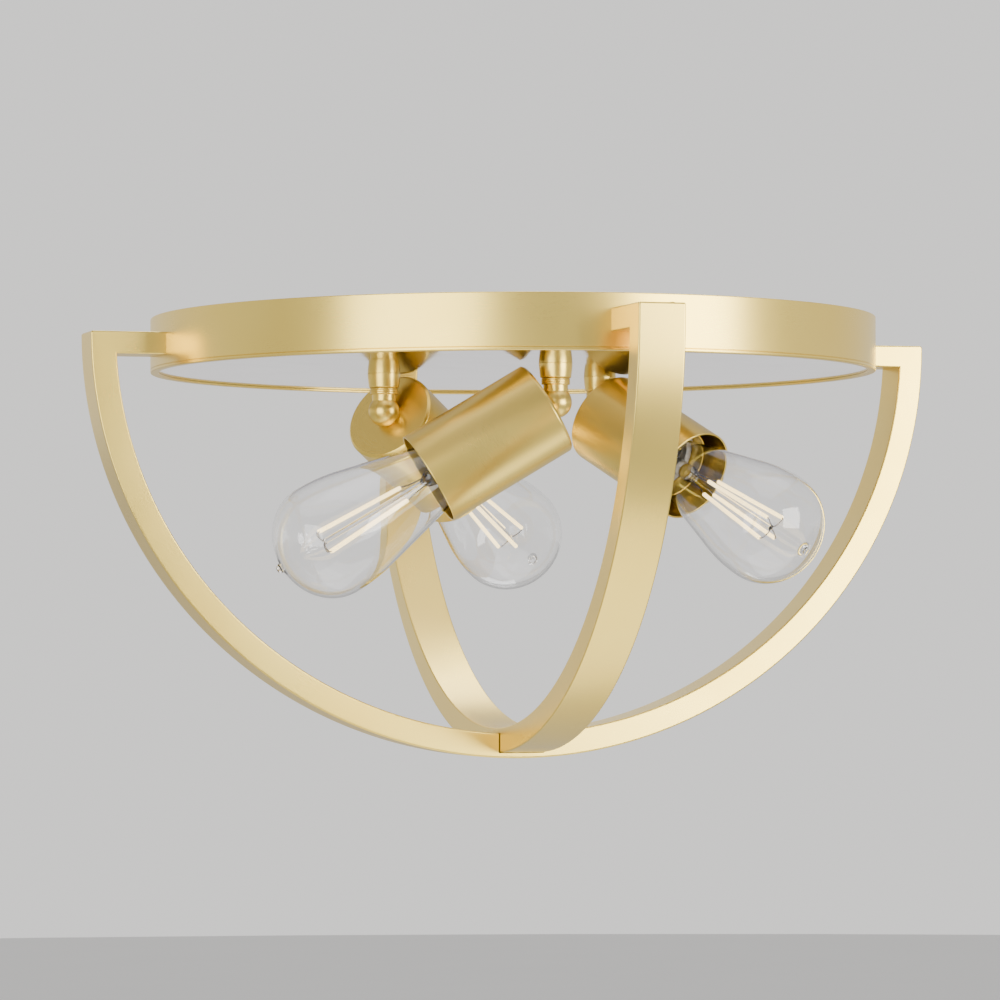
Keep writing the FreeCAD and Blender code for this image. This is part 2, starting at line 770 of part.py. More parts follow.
def glass_mount(i):
    """Inner glass: a flare sealed in the neck, a tube and a thin centre post."""
    flare = "glass_neck_radius - glass_wall - mount_play"
    low = CAP_HIGH + " - glass_sink"
    top = low + " + mount_flare_height"
    tube_end = low + " + mount_tube_length"
    return node(turned("mount_body_" + LAMPS[i], [
        ("0", low),
        (flare, low),
        ("mount_tube_radius", top + " + 3"),
        ("mount_tube_radius", tube_end + " - 3"),
        ("post_radius", tube_end),
        ("post_radius", tube_end + " + post_length"),
        ("0", tube_end + " + post_length"),
    ], lamp_frame(i)), "glass_mount_" + LAMPS[i])


def filaments(i):
    """Upright light sticks leaning outward, each held by a wire at its foot and head."""
    sticks = []
    rise = size("filament_length")
    foot_out, head_out = size("filament_foot_out"), size("filament_head_out")
    lean = math.degrees(math.asin((head_out - foot_out) / rise))
    start = size(CAP_HIGH + " + filament_start")
    post = size("post_radius + mount_play")
    for k in range(FILAMENTS):
        around = lamp_frame(i).multiply(Placement(Vector(), Rotation(Z, 45 + 360.0 / FILAMENTS * k)))
        tag = "%s_%d" % (LAMPS[i], k)
        stand = around.multiply(Placement(Vector(foot_out, 0, start), Rotation(Y, lean)))
        pieces = [drum("stick_" + tag, "filament_radius", "0", "filament_length", stand)]
        head = start + rise * math.cos(math.radians(lean))
        for end, out, height in (("foot", foot_out, start), ("head", head_out, head)):
            wire = doc.addObject("Part::Cylinder", "%s_wire_%s" % (end, tag))
            wire.setExpression("Radius", bound("filament_wire_radius"))
            wire.Height = out - post
            inset = size("filament_wire_radius") * (1 if end == "foot" else -1)
            wire.Placement = around.multiply(Placement(Vector(post, 0, height + inset), Rotation(Y, 90)))
            pieces.append(wire)
        sticks.append(joined("filament_%s" % tag, pieces))
    return node(bundle("filament_set_" + LAMPS[i], sticks), "filaments_" + LAMPS[i])


# Build, check and write ----------------------------------------------------------


def build():
    ceiling_pan()
    side_screws()
    ground_screw()
    drum_band()
    mirror_plate()
    hoops()
    arm_fasteners()
    friction_washers()
    for i in range(STEMS):
        for make in (collar, swivel_nut, stem_tube, ball_elbow, side_tube, cup, cup_nut,
                     lampholder, holder_sleeve, screw_shell, centre_tab,
                     bulb_button, bulb_cap, bulb_glass, glass_mount, filaments):
            make(i)
    doc.recompute()


def check():
    for thing in doc.Objects:
        bad = [word for word in thing.State if word in ("Invalid", "Error")]
        if bad:
            raise RuntimeError("%s is %s" % (thing.Label, ", ".join(bad)))
    for thing in NODES:
        if thing.Shape.isNull() or not thing.Shape.isValid() or not thing.Shape.Solids:
            raise RuntimeError("%s has no sound solid" % thing.Label)


def export():
    os.makedirs("parts", exist_ok=True)
    for thing in NODES:
        thing.Shape.exportStep("parts/%s.step" % thing.Label)
        print("%-20s %2d solids %10.1f mm3" % (thing.Label, len(thing.Shape.Solids), thing.Shape.Volume))


build()
check()
export()
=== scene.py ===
# Semi flush ceiling light: a shallow satin gold band with a mirror plate under it, two crossed
# half hoops of rectangular tube, and three swivelling cups with long clear filament bulbs.
import json
import math
from contextlib import contextmanager

import bmesh
import bpy
from bpy.props import FloatProperty, FloatVectorProperty, IntProperty, PointerProperty
from mathutils import Matrix, Vector


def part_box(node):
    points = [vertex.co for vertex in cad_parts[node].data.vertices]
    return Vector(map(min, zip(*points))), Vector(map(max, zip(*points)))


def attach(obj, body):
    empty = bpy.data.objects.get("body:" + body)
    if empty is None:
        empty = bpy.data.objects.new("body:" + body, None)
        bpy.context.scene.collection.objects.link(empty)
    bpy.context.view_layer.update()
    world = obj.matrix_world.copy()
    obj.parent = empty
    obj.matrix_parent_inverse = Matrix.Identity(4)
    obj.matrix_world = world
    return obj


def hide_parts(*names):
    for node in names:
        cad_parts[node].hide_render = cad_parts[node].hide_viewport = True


bl_info = {
    "name": "Semi flush ceiling light",
    "version": (1, 0, 0),
    "blender": (4, 5, 0),
    "location": "3D View > Sidebar > Ceiling light",
    "description": "Band, mirror plate, crossed hoops and three swivelling filament lamps",
    "category": "Add Mesh",
}

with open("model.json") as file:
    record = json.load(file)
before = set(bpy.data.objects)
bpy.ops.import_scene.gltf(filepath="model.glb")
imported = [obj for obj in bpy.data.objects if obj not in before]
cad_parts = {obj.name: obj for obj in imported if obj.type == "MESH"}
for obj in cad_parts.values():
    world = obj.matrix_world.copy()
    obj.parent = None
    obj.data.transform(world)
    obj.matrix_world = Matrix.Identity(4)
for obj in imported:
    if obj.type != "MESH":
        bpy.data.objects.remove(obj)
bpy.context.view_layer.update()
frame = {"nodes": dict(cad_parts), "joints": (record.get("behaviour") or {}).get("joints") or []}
JOINTS = {joint["name"]: joint for joint in frame["joints"]}
LAMPS = ("a", "b", "c")
MM = 0.001


# Places and measures taken from the frame ----------------------------------------------------


def stem_place(tag):
    """The stem's axis, with heights measured from the ceiling face."""
    x, y, _ = JOINTS["swivel_" + tag]["pos_m"]
    return Matrix.Translation((x, y, 0))


def lamp_place(tag):
    """The ball's centre, own Z along cup and bulb, own X under it and own Y to its side."""
    turn = JOINTS["bulb_turn_" + tag]
    along = Vector(turn["axis"]).normalized()
    side = Vector((-along.y, along.x, 0)).normalized()
    under = side.cross(along)
    axes = Matrix((under, side, along)).transposed().to_4x4()
    return Matrix.Translation(turn["pos_m"]) @ axes


class Reach:
    """How far a node reaches along and about the Z axis of a place."""

    TIGHT = 0.02 * MM

    def __init__(self, node, place=Matrix.Identity(4)):
        back = place.inverted()
        spots = [back @ v.co for v in frame["nodes"][node].data.vertices]
        self.rings = sorted((p.z, math.hypot(p.x, p.y)) for p in spots)
        self.low, self.high = self.rings[0][0], self.rings[-1][0]
        self.outer = max(r for _, r in self.rings)
        self.inner = min(r for _, r in self.rings)

    def widest(self):
        """The heights of the points that reach furthest out."""
        return [z for z, r in self.rings if r > self.outer - self.TIGHT]

    def radius_at(self, height, margin=0.05 * MM):
        """The largest radius within a margin of a height."""
        return max(r for z, r in self.rings if abs(z - height) <= margin)


BAND = Reach("drum_band")
PLATE = Reach("mirror_plate")


# Sizes and colours ----------------------------------------------------------------------------


def length(name, description, value):
    """A size in metres."""
    return FloatProperty(name=name, description=description, default=value,
                         unit="LENGTH", precision=5)


def number(name, description, value):
    """A plain number."""
    return FloatProperty(name=name, description=description, default=value)


def angle(name, description, degrees):
    """An angle, given in degrees."""
    return FloatProperty(name=name, description=description, default=math.radians(degrees),
                         subtype="ANGLE")


def colour(name, description, value):
    """A colour of a finish."""
    return FloatVectorProperty(name=name, description=description, default=value,
                               subtype="COLOR", size=3, min=0.0, max=1.0)


class CeilingLightSizes(bpy.types.PropertyGroup):
    """Sizes that shape the visible pieces round the frame."""

    band_wall: length("Band wall", "Thickness of the band's sheet", 1.5 * MM)
    band_edge: length("Band edge", "Rounding of the band's lower edge", 0.6 * MM)
    bead_height: length("Bead height", "Height of the rolled bead at the band's foot", 1.6 * MM)
    bead_groove: length("Bead groove", "Depth of the fine line above the bead", 0.3 * MM)
    bar_thickness: length("Bar thickness", "Thickness of the hoops' tube", 12.5 * MM)
    arm_depth: length("Arm depth", "Height of the arms between band and hoop", 11.0 * MM)
    hoop_edge: length("Hoop edge", "Rounding along the edges of the hoops' tube", 0.9 * MM)
    hoop_slit: length("Hoop slit", "Gap each side of the upper hoop in its notch", 0.4 * MM)
    head_radius: length("Head radius", "Radius of the side screws' heads", 4.2 * MM)
    head_height: length("Head height", "Most that a side screw's head stands out", 2.2 * MM)
    turned_edge: length("Turned edge", "Rounding of the edges of turned pieces", 0.35 * MM)
    cup_wall: length("Cup wall", "Thickness of the cups", 1.0 * MM)
    cup_bevel: length("Cup bevel", "Bevel round the closed end of the cups", 1.2 * MM)
    shell_wall: length("Shell wall", "Thickness of screw shell and bulb cap", 0.5 * MM)
    thread_pitch: length("Thread pitch", "Pitch of the medium screw cap", 25.4 * MM / 7)
    thread_depth: length("Thread depth", "Depth of the rolled thread", 0.75 * MM)
    glass_wall: length("Glass wall", "Thickness of the bulb's glass", 0.9 * MM)
    glass_neck: length("Glass neck", "Straight neck above the cap", 4.5 * MM)
    glass_shoulder: length("Glass shoulder", "Radius of the bulb's long shoulder", 90 * MM)
    tip_radius: length("Tip radius", "Radius of the sealed tip", 2.4 * MM)
    tip_length: length("Tip length", "How far the sealed tip stands out of the glass", 2.55 * MM)
    mount_tube: length("Mount tube", "Radius of the glass mount's tube", 4.2 * MM)
    mount_rise: length("Mount rise", "Height of the glass mount's pinched end", 31 * MM)
    mount_post: length("Mount post", "Radius of the glass mount's thin post", 1.3 * MM)
    stick_radius: length("Stick radius", "Radius of a light stick", 1.0 * MM)
    stick_foot: length("Stick foot", "From the bulb's axis to a light stick's foot", 5.0 * MM)
    stick_head: length("Stick head", "From the bulb's axis to a light stick's head", 8.0 * MM)
    wire_radius: length("Wire radius", "Radius of the wires in the bulb", 0.32 * MM)
    sticks: IntProperty(name="Sticks", description="Light sticks in each bulb",
                        default=4, min=1, max=8)


class CeilingLightColours(bpy.types.PropertyGroup):
    """Colours of the finishes."""

    gold: colour("Gold", "Satin gold plating", (0.87, 0.65, 0.16))
    gold_warm: colour("Warm gold", "Warmer patches of the plating", (0.85, 0.61, 0.12))
    zinc: colour("Zinc", "Zinc plated steel", (0.62, 0.64, 0.66))
    earth: colour("Earth green", "Lacquer of the earth screw", (0.05, 0.28, 0.09))
    earth_pale: colour("Pale earth green", "Thinner places of the lacquer", (0.09, 0.38, 0.14))
    mirror: colour("Mirror", "Polished plate", (0.82, 0.79, 0.85))
    holder: colour("Lampholder", "Moulded lampholder", (0.80, 0.77, 0.70))
    brass: colour("Brass", "Screw shell and centre contact", (0.78, 0.60, 0.28))
    cap: colour("Cap", "Nickel plated bulb cap", (0.72, 0.71, 0.68))
    insulator: colour("Insulator", "Black glass of the cap", (0.02, 0.02, 0.025))
    insulator_pale: colour("Pale insulator", "Clouds in the black glass", (0.05, 0.045, 0.05))
    solder: colour("Solder", "Solder on the contact button", (0.60, 0.60, 0.58))
    glass: colour("Glass", "Clear glass", (1.0, 1.0, 1.0))
    stick: colour("Light stick", "Yellow coating of the light sticks", (1.0, 0.78, 0.36))
    glow: colour("Glow", "Light of the sticks", (1.0, 0.74, 0.34))
    wire: colour("Wire", "Support wires", (0.30, 0.28, 0.27))
    floor: colour("Floor", "Pale floor", (0.82, 0.82, 0.82))


class CeilingLightStage(bpy.types.PropertyGroup):
    """Camera, floor and studio light."""

    camera_turn: angle("Camera turn", "Turn round the object", -17.912)
    camera_rise: angle("Camera rise", "Angle above the horizon", -1.795)
    camera_roll: angle("Camera roll", "Roll about the line of sight", -0.198)
    camera_distance: length("Camera distance", "From the aim point", 2.1089)
    camera_height: length("Aim height", "Height of the aim point", -0.0906)
    camera_aside: length("Aim aside", "Sideways shift of the aim point", -0.00682)
    camera_lens: number("Lens", "Focal length in mm", 150.51)
    floor_drop: length("Floor drop", "Floor below the ceiling face", 3.2)
    floor_reach: length("Floor reach", "Radius of the floor", 40.0)
    room_light: number("Room light", "Strength of the pale light from the far walls", 1.05)
    room_shade: number("Room shade", "Strength of the light from behind the camera", 0.7)
    overhead_shade: number("Overhead shade", "Share of the room's light left overhead", 0.8)
    key_power: number("Key light", "Power of the large soft light", 110.0)


def sizes():
    """The sizes that the scene holds."""
    return bpy.context.scene.ceiling_light_sizes


def colours():
    """The colours that the scene holds."""
    return bpy.context.scene.ceiling_light_colours


def setting():
    """The camera, floor and light that the scene holds."""
    return bpy.context.scene.ceiling_light_stage


# Finishes -------------------------------------------------------------------------------------


def set_span(span, start, end, first, last):
    """Sets a Map Range node to run from first to last as its value goes from start to end."""
    for name, value in (("From Min", start), ("From Max", end),
                        ("To Min", first), ("To Max", last)):
        span.inputs[name].default_value = value


def dulled(tint, share):
    """A colour with a share of its brightness."""
    return [share * c for c in tint]


class Finish:
    """A material made of nodes, with short words for the usual links."""

    def __init__(self, name):
        self.material = bpy.data.materials.new("finish_" + name)
        self.material.use_nodes = True
        self.tree = self.material.node_tree
        self.surface = self.tree.nodes["Principled BSDF"]

    def node(self, kind, **values):
        """A new node with its settings."""
        made = self.tree.nodes.new(kind)
        for key, value in values.items():
            setattr(made, key, value)
        return made

    def link(self, output, socket):
        """Joins an output to a socket of another node."""
        self.tree.links.new(output, socket)

    def drive(self, socket, output):
        """Joins an output to a named socket of the surface."""
        self.link(output, self.surface.inputs[socket])

    def set(self, **values):
        """Sets plain values on the surface's own sockets."""
        for name, value in values.items():
            label = name.replace("_", " ").title().replace("Ior", "IOR")
            self.surface.inputs[label].default_value = value

    def noise(self, scale, stretch=(1, 1, 1), detail=4.0, follow=False):
        """Noise on the object's own place, or along its grain."""
        if follow:
            source = self.node("ShaderNodeAttribute", attribute_name="grain").outputs["Vector"]
        else:
            source = self.node("ShaderNodeTexCoord").outputs["Object"]
        mapping = self.node("ShaderNodeMapping")
        mapping.inputs["Scale"].default_value = stretch
        noise = self.node("ShaderNodeTexNoise")
        noise.inputs["Scale"].default_value = scale
        noise.inputs["Detail"].default_value = detail
        self.link(source, mapping.inputs["Vector"])
        self.link(mapping.outputs["Vector"], noise.inputs["Vector"])
        return noise.outputs["Fac"]

    def between(self, factor, low, high, start=0.3, end=0.7):
        """A number that runs from low to high as a factor goes from start to end."""
        span = self.node("ShaderNodeMapRange")
        set_span(span, start, end, low, high)
        self.link(factor, span.inputs["Value"])
        return span.outputs["Result"]

    def blend(self, factor, first, second):
        """A colour between two, by a factor."""
        mix = self.node("ShaderNodeMix", data_type="RGBA")
        self.link(factor, mix.inputs["Factor"])
        mix.inputs[6].default_value = (*first, 1)
        mix.inputs[7].default_value = (*second, 1)
        return mix.outputs[2]

    def bump(self, height, strength, depth, below=None):
        """A bumped normal, over another bump if one is given."""
        bump = self.node("ShaderNodeBump")
        bump.inputs["Strength"].default_value = strength
        bump.inputs["Distance"].default_value = depth
        self.link(height, bump.inputs["Height"])
        if below:
            self.link(below, bump.inputs["Normal"])
        return bump.outputs["Normal"]


def satin_gold():
    """Gold plating over finely brushed steel: strokes along the grain, clouds of wear."""
    made = Finish("satin_gold")
    patches = made.between(made.noise(9.0, detail=3.0), 0.0, 1.0, start=0.35, end=0.7)
    strokes = made.noise(1.0, stretch=(160, 160, 5200), detail=2.0, follow=True)
    cloud = made.noise(34.0)
    total = made.node("ShaderNodeMath", operation="ADD")
    made.link(made.between(strokes, 0.27, 0.30, start=0.2, end=0.8), total.inputs[0])
    made.link(made.between(cloud, -0.01, 0.015), total.inputs[1])
    grain = made.bump(strokes, strength=0.025, depth=0.02 * MM)
    made.drive("Base Color", made.blend(patches, colours().gold, colours().gold_warm))
    made.drive("Roughness", total.outputs[0])
    made.drive("Normal", made.bump(cloud, strength=0.02, depth=0.1 * MM, below=grain))
    made.set(metallic=1.0)
    return made.material


def zinc_steel():
    """Zinc plating with faint spangle and handling marks."""
    made = Finish("zinc_steel")
    cells = made.node("ShaderNodeTexVoronoi")
    cells.inputs["Scale"].default_value = 260.0
    made.link(made.node("ShaderNodeTexCoord").outputs["Object"], cells.inputs["Vector"])
    spangle = made.between(cells.outputs["Distance"], 0.30, 0.42, start=0.0, end=1.0)
    zinc = colours().zinc
    made.drive("Base Color", made.blend(made.noise(18.0), zinc, dulled(zinc, 0.82)))
    made.drive("Roughness", spangle)
    made.drive("Normal", made.bump(made.noise(900.0), strength=0.06, depth=0.1 * MM))
    made.set(metallic=1.0)
    return made.material


def green_steel():
    """Green lacquer on the earth screw."""
    made = Finish("green_steel")
    made.drive("Base Color", made.blend(made.noise(600.0), colours().earth, colours().earth_pale))
    made.drive("Normal", made.bump(made.noise(1500.0), strength=0.08, depth=0.1 * MM))
    made.set(metallic=0.6, roughness=0.35)
    return made.material


def mirror_steel():
    """Mirror polish with a trace of wiping marks."""
    made = Finish("mirror_steel")
    wiping = made.noise(30.0, stretch=(1, 5, 1))
    mirror = colours().mirror
    made.drive("Base Color", made.blend(made.noise(6.0), mirror, dulled(mirror, 0.97)))
    made.drive("Roughness", made.between(wiping, 0.035, 0.085))
    made.drive("Normal", made.bump(made.noise(12.0), strength=0.02, depth=0.5 * MM))
    made.set(metallic=1.0)
    return made.material


def phenolic():
    """Moulded lampholder body, faintly speckled."""
    made = Finish("phenolic")
    speckle = made.between(made.noise(700.0), 0.0, 1.0, start=0.45, end=0.6)
    holder = colours().holder
    made.drive("Base Color", made.blend(speckle, holder, dulled(holder, 0.86)))
    made.drive("Roughness", made.between(made.noise(60.0), 0.30, 0.42))
    made.drive("Normal", made.bump(made.noise(1200.0), strength=0.08, depth=0.1 * MM))
    return made.material


def plain_metal(name, tint, low, high):
    """Bare or plated sheet metal with drawing marks, between two roughnesses."""
    made = Finish(name)
    made.drive("Base Color", made.blend(made.noise(120.0), tint, dulled(tint, 0.8)))
    made.drive("Roughness", made.between(made.noise(300.0), low, high))
    made.drive("Normal", made.bump(made.noise(900.0), strength=0.05, depth=0.1 * MM))
    made.set(metallic=1.0)
    return made.material


def insulator():
    """Black glass between cap and button."""
    made = Finish("insulator")
    made.drive("Base Color", made.blend(made.noise(300.0), colours().insulator,
                                        colours().insulator_pale))
    made.drive("Roughness", made.between(made.noise(400.0), 0.08, 0.2))
    return made.material


def clear_glass():
    """Clear blown glass, thin waves in its thickness."""
    made = Finish("clear_glass")
    made.set(roughness=0.0, ior=1.47, transmission_weight=1.0, base_color=(*colours().glass, 1))
    waves = made.noise(24.0, detail=2.0)
    made.drive("Normal", made.bump(waves, strength=0.03, depth=0.6 * MM))
    return made.material


def light_stick():
    """Yellow silicone coating that glows when lit."""
    made = Finish("light_stick")
    beads = made.noise(1400.0, detail=2.0)
    pale = [min(1.0, c + 0.12) for c in colours().stick]
    made.drive("Base Color", made.blend(beads, colours().stick, pale))
    made.drive("Normal", made.bump(beads, strength=0.2, depth=0.2 * MM))
    made.set(roughness=0.45, emission_strength=3.5, emission_color=(*colours().glow, 1))
    return made.material


MAKERS = {
    "satin_gold": satin_gold,
    "zinc_steel": zinc_steel,
    "green_steel": green_steel,
    "mirror_steel": mirror_steel,
    "phenolic": phenolic,
    "brass": lambda: plain_metal("brass", colours().brass, 0.28, 0.4),
    "cap_metal": lambda: plain_metal("cap_metal", colours().cap, 0.22, 0.36),
    "support_wire": lambda: plain_metal("support_wire", colours().wire, 0.25, 0.45),
    "solder": lambda: plain_metal("solder", colours().solder, 0.35, 0.5),
    "insulator": insulator,
    "clear_glass": clear_glass,
    "light_stick": light_stick,
}
MADE = {}


def finish(name):
    """The finish of that name, made once."""
    if name not in MADE:
        MADE[name] = MAKERS[name]()
    return MADE[name]


# Shapes ---------------------------------------------------------------------------------------

ON_AXIS = 0.0001 * MM  # nearer than this is the same place
ROUNDING_SHARE = 0.49  # the most of a side that the rounding at one of its ends takes


def rounded(corners, closed=True, steps=4):
    """Profile points; a corner is (radius, height) or (radius, height, rounding)."""
    points = []
    last = len(corners) - 1
    for i, corner in enumerate(corners):
        here = Vector(corner[:2])
        rounding = corner[2] if len(corner) > 2 else 0.0
        if not rounding or (not closed and i in (0, last)):
            points.append(here)
            continue
        back = Vector(corners[i - 1][:2]) - here
        on = Vector(corners[(i + 1) % len(corners)][:2]) - here
        cut = min(rounding, ROUNDING_SHARE * back.length, ROUNDING_SHARE * on.length)
        first, second = here + back.normalized() * cut, here + on.normalized() * cut
        for k in range(steps + 1):
            t = k / steps
            points.append(first * (1 - t) ** 2 + here * 2 * t * (1 - t) + second * t ** 2)
    return points


def turned(profile, steps=128, wave=None):
    """Vertices, faces and grain of a profile turned about Z; points on the axis become poles.

    A wave moves a point outward by a length that depends on its profile point and bearing.
    """
    following = profile[1:] + profile[:1]
    if sum(p.x * q.y - q.x * p.y for p, q in zip(profile, following)) < 0:
        profile = profile[::-1]
    verts, grain, rings = [], [], []
    run = 0.0
    for i, point in enumerate(profile):
        run += (point - profile[i - 1]).length if i else 0.0
        if point.x < ON_AXIS:
            rings.append([len(verts)])
            verts.append((0, 0, point.y))
            grain.append((0, 0, run))
            continue
        rings.append(list(range(len(verts), len(verts) + steps)))
        for j in range(steps):
            bearing = 2 * math.pi * j / steps
            radius = point.x + (wave(point, bearing) if wave else 0.0)
            spot = (radius * math.cos(bearing), radius * math.sin(bearing))
            verts.append((*spot, point.y))
            grain.append((*spot, run))
    faces = []
    for low, high in zip(rings, rings[1:] + rings[:1]):
        if len(low) == 1 and len(high) == 1:
            continue
        for j in range(steps):
            k = (j + 1) % steps
            face = [low[j % len(low)], low[k % len(low)], high[k % len(high)], high[j % len(high)]]
            faces.append(list(dict.fromkeys(face)))
    return verts, faces, grain


def mesh_of(name, shape, place=Matrix.Identity(4)):
    """A mesh of vertices, faces and grain, moved to its place."""
    verts, faces, grain = shape
    mesh = bpy.data.meshes.new(name)
    mesh.from_pydata([place @ Vector(v) for v in verts], [], faces)
    attribute = mesh.attributes.new("grain", "FLOAT_VECTOR", "POINT")
    attribute.data.foreach_set("vector", [c for g in grain for c in g])
    mesh.update()
    return mesh


def tube_faces(rows, count):
    """Faces of a tube with a ring of count points in each row, closed at both ends."""
    faces = []
    for i in range(rows - 1):
        for j in range(count):
            k = (j + 1) % count
            a, b = i * count, (i + 1) * count
            faces.append([a + j, a + k, b + k, b + j])
    return faces + [list(range(count))[::-1], [(rows - 1) * count + j for j in range(count)]]


@contextmanager
def edit(mesh):
    """Opens a mesh for editing and writes it back."""
    work = bmesh.new()
    work.from_mesh(mesh)
    yield work
    work.to_mesh(mesh)
    work.free()


def face_outward(mesh):
    """Merges doubles and points the faces of one closed shell outward."""
    with edit(mesh) as work:
        bmesh.ops.remove_doubles(work, verts=work.verts, dist=ON_AXIS)
        bmesh.ops.recalc_face_normals(work, faces=work.faces)


def piece(name, mesh, body, nodes, finish_name, sharp=40):
    """A finished piece that rides on its body and stands for its nodes."""
    mesh.name = name
    mesh.polygons.foreach_set("use_smooth", [True] * len(mesh.polygons))
    mesh.set_sharp_from_angle(angle=math.radians(sharp))
    if not mesh.materials:
        mesh.materials.append(finish(finish_name))
    thing = scratch(name, mesh)
    even = thing.modifiers.new("even_shading", "WEIGHTED_NORMAL")
    even.keep_sharp = True
    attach(thing, body)
    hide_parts(*nodes)


def dress(node, finish_name):
    """Gives a node of the frame its finish and leaves its shape alone."""
    thing = frame["nodes"][node]
    thing.data.materials.clear()
    thing.data.materials.append(finish(finish_name))


def evaluated_mesh(thing):
    """A plain mesh of an object as its modifiers leave it."""
    bpy.context.view_layer.update()
    changed = thing.evaluated_get(bpy.context.evaluated_depsgraph_get())
    return bpy.data.meshes.new_from_object(changed)


def scratch(name, data):
    """A new object in the scene."""
    thing = bpy.data.objects.new(name, data)
    bpy.context.scene.collection.objects.link(thing)
    return thing


# Geometry node trees --------------------------------------------------------------------------


class Recipe:
    """A Geometry Nodes tree with named inputs, and the mesh that it makes from a base."""

    def __init__(self, name, numbers):
        self.tree = bpy.data.node_groups.new(name, "GeometryNodeTree")
        face = self.tree.interface
        face.new_socket("Geometry", in_out="INPUT", socket_type="NodeSocketGeometry")
        self.names = {}
        for label, (kind, value) in numbers.items():
            socket = face.new_socket(label, in_out="INPUT", socket_type="NodeSocket" + kind)
            if value is not None:
                socket.default_value = value
            self.names[label] = socket.identifier
        face.new_socket("Geometry", in_out="OUTPUT", socket_type="NodeSocketGeometry")
        self.given = self.tree.nodes.new("NodeGroupInput")
        self.result = self.tree.nodes.new("NodeGroupOutput")

    def node(self, kind, inputs=None, **values):
        """A new node with its settings, and links or values for its inputs."""
        made = self.tree.nodes.new(kind)
        for key, value in values.items():
            setattr(made, key, value)
        for name, value in (inputs or {}).items():
            socket = made.inputs[name]
            if isinstance(value, bpy.types.NodeSocket):
                self.tree.links.new(value, socket)
            else:
                socket.default_value = value
        return made

    def math(self, operation, first, second):
        """The result of a sum on two numbers or sockets."""
        return self.node("ShaderNodeMath", {0: first, 1: second}, operation=operation).outputs[0]

    def end(self, geometry):
        """Keeps the grain, realizes what is repeated and sets the material."""
        real = self.node("GeometryNodeRealizeInstances", {"Geometry": geometry})
        smooth = self.node("GeometryNodeSetShadeSmooth", {"Geometry": real.outputs[0]})
        done = self.node("GeometryNodeSetMaterial", {
            "Geometry": smooth.outputs[0], "Material": self.given.outputs["Material"]})
        self.tree.links.new(done.outputs[0], self.result.inputs["Geometry"])

    def make(self, base, **values):
        """The plain mesh that the tree makes from a base's data."""
        thing = scratch("recipe_base", base)
        modifier = thing.modifiers.new(self.tree.name, "NODES")
        modifier.node_group = self.tree
        for label, value in values.items():
            modifier[self.names[label.replace("_", " ").capitalize()]] = value
        mesh = evaluated_mesh(thing)
        bpy.data.objects.remove(thing)
        return mesh


def set_out_on_a_ring():
    """Recipe that repeats the base on a circle about Z."""
    made = Recipe("set_out_on_a_ring", {
        "Count": ("Int", 4), "Radius": ("Float", 0.1), "First": ("Float", 0.0),
        "Height": ("Float", 0.0), "Material": ("Material", None)})
    given = made.given.outputs
    circle = made.node("GeometryNodeMeshCircle",
                       {"Vertices": given["Count"], "Radius": given["Radius"]})
    index = made.node("GeometryNodeInputIndex").outputs[0]
    lift = made.node("ShaderNodeCombineXYZ", {"Z": given["Height"]}).outputs[0]
    moved = made.node("GeometryNodeSetPosition", {"Geometry": circle.outputs[0], "Offset": lift})
    share = made.math("DIVIDE", 2 * math.pi, given["Count"])
    bearing = made.math("MULTIPLY", index, share)
    spin = made.node("ShaderNodeCombineXYZ", {"Z": bearing}).outputs[0]
    placed = made.node("GeometryNodeInstanceOnPoints", {
        "Points": moved.outputs[0], "Instance": given["Geometry"], "Rotation": spin})
    turn = made.node("ShaderNodeCombineXYZ", {"Z": given["First"]}).outputs[0]
    whole = made.node("GeometryNodeTransform",
                      {"Geometry": placed.outputs[0], "Rotation": turn})
    made.end(whole.outputs[0])
    return made


def section_round_a_circle():
    """Recipe that sweeps a closed section round a circle about Z."""
    made = Recipe("section_round_a_circle", {
        "Radius": ("Float", 0.1), "Segments": ("Int", 256), "Material": ("Material", None)})
    given = made.given.outputs
    path = made.node("GeometryNodeCurvePrimitiveCircle",
                     {"Resolution": given["Segments"], "Radius": given["Radius"]})
    swept = made.node("GeometryNodeCurveToMesh",
                      {"Curve": path.outputs[0], "Profile Curve": given["Geometry"]})
    spot = made.node("GeometryNodeInputPosition").outputs[0]
    kept = made.node("GeometryNodeStoreNamedAttribute",
                     {"Geometry": swept.outputs[0], "Name": "grain", "Value": spot},
                     data_type="FLOAT_VECTOR", domain="POINT")
    made.end(kept.outputs[0])
    return made


def section_curve(points):
    """A closed flat curve through section points (outward, up); a swept curve's own Y runs down."""
    curve = bpy.data.curves.new("section", "CURVE")
    curve.dimensions = "2D"
    curve.fill_mode = "NONE"
    spline = curve.splines.new("POLY")
    spline.points.add(len(points) - 1)
    for spot, point in zip(spline.points, points):
        spot.co = (point.x, -point.y, 0, 1)
    spline.use_cyclic_u = True
    return curve


# Operators ------------------------------------------------------------------------------------


class CEILINGLIGHT_OT_band(bpy.types.Operator):
    """Round band with a rolled lip under the plate"""

    bl_idname = "ceiling_light.band"
    bl_label = "Band"

    def execute(self, context):
        wall, edge = sizes().band_wall, sizes().band_edge
        lip, seat = BAND.outer - BAND.inner, PLATE.low
        bead, groove = BAND.low + sizes().bead_height, sizes().bead_groove
        section = rounded([
            (-wall, BAND.high, 0.3 * MM), (0, BAND.high, 0.5 * MM), (0, bead + groove),
            (-groove, bead, 0.1 * MM), (0, bead - groove), (0, BAND.low, edge),
            (-lip, BAND.low, 0.4 * MM), (-lip, seat, 0.3 * MM), (-wall, seat)])
        mesh = section_round_a_circle().make(
            section_curve(section), radius=BAND.outer, segments=288, material=finish("satin_gold"))
        face_outward(mesh)
        piece("band", mesh, "fixture", ["drum_band"], "satin_gold")
        return {"FINISHED"}


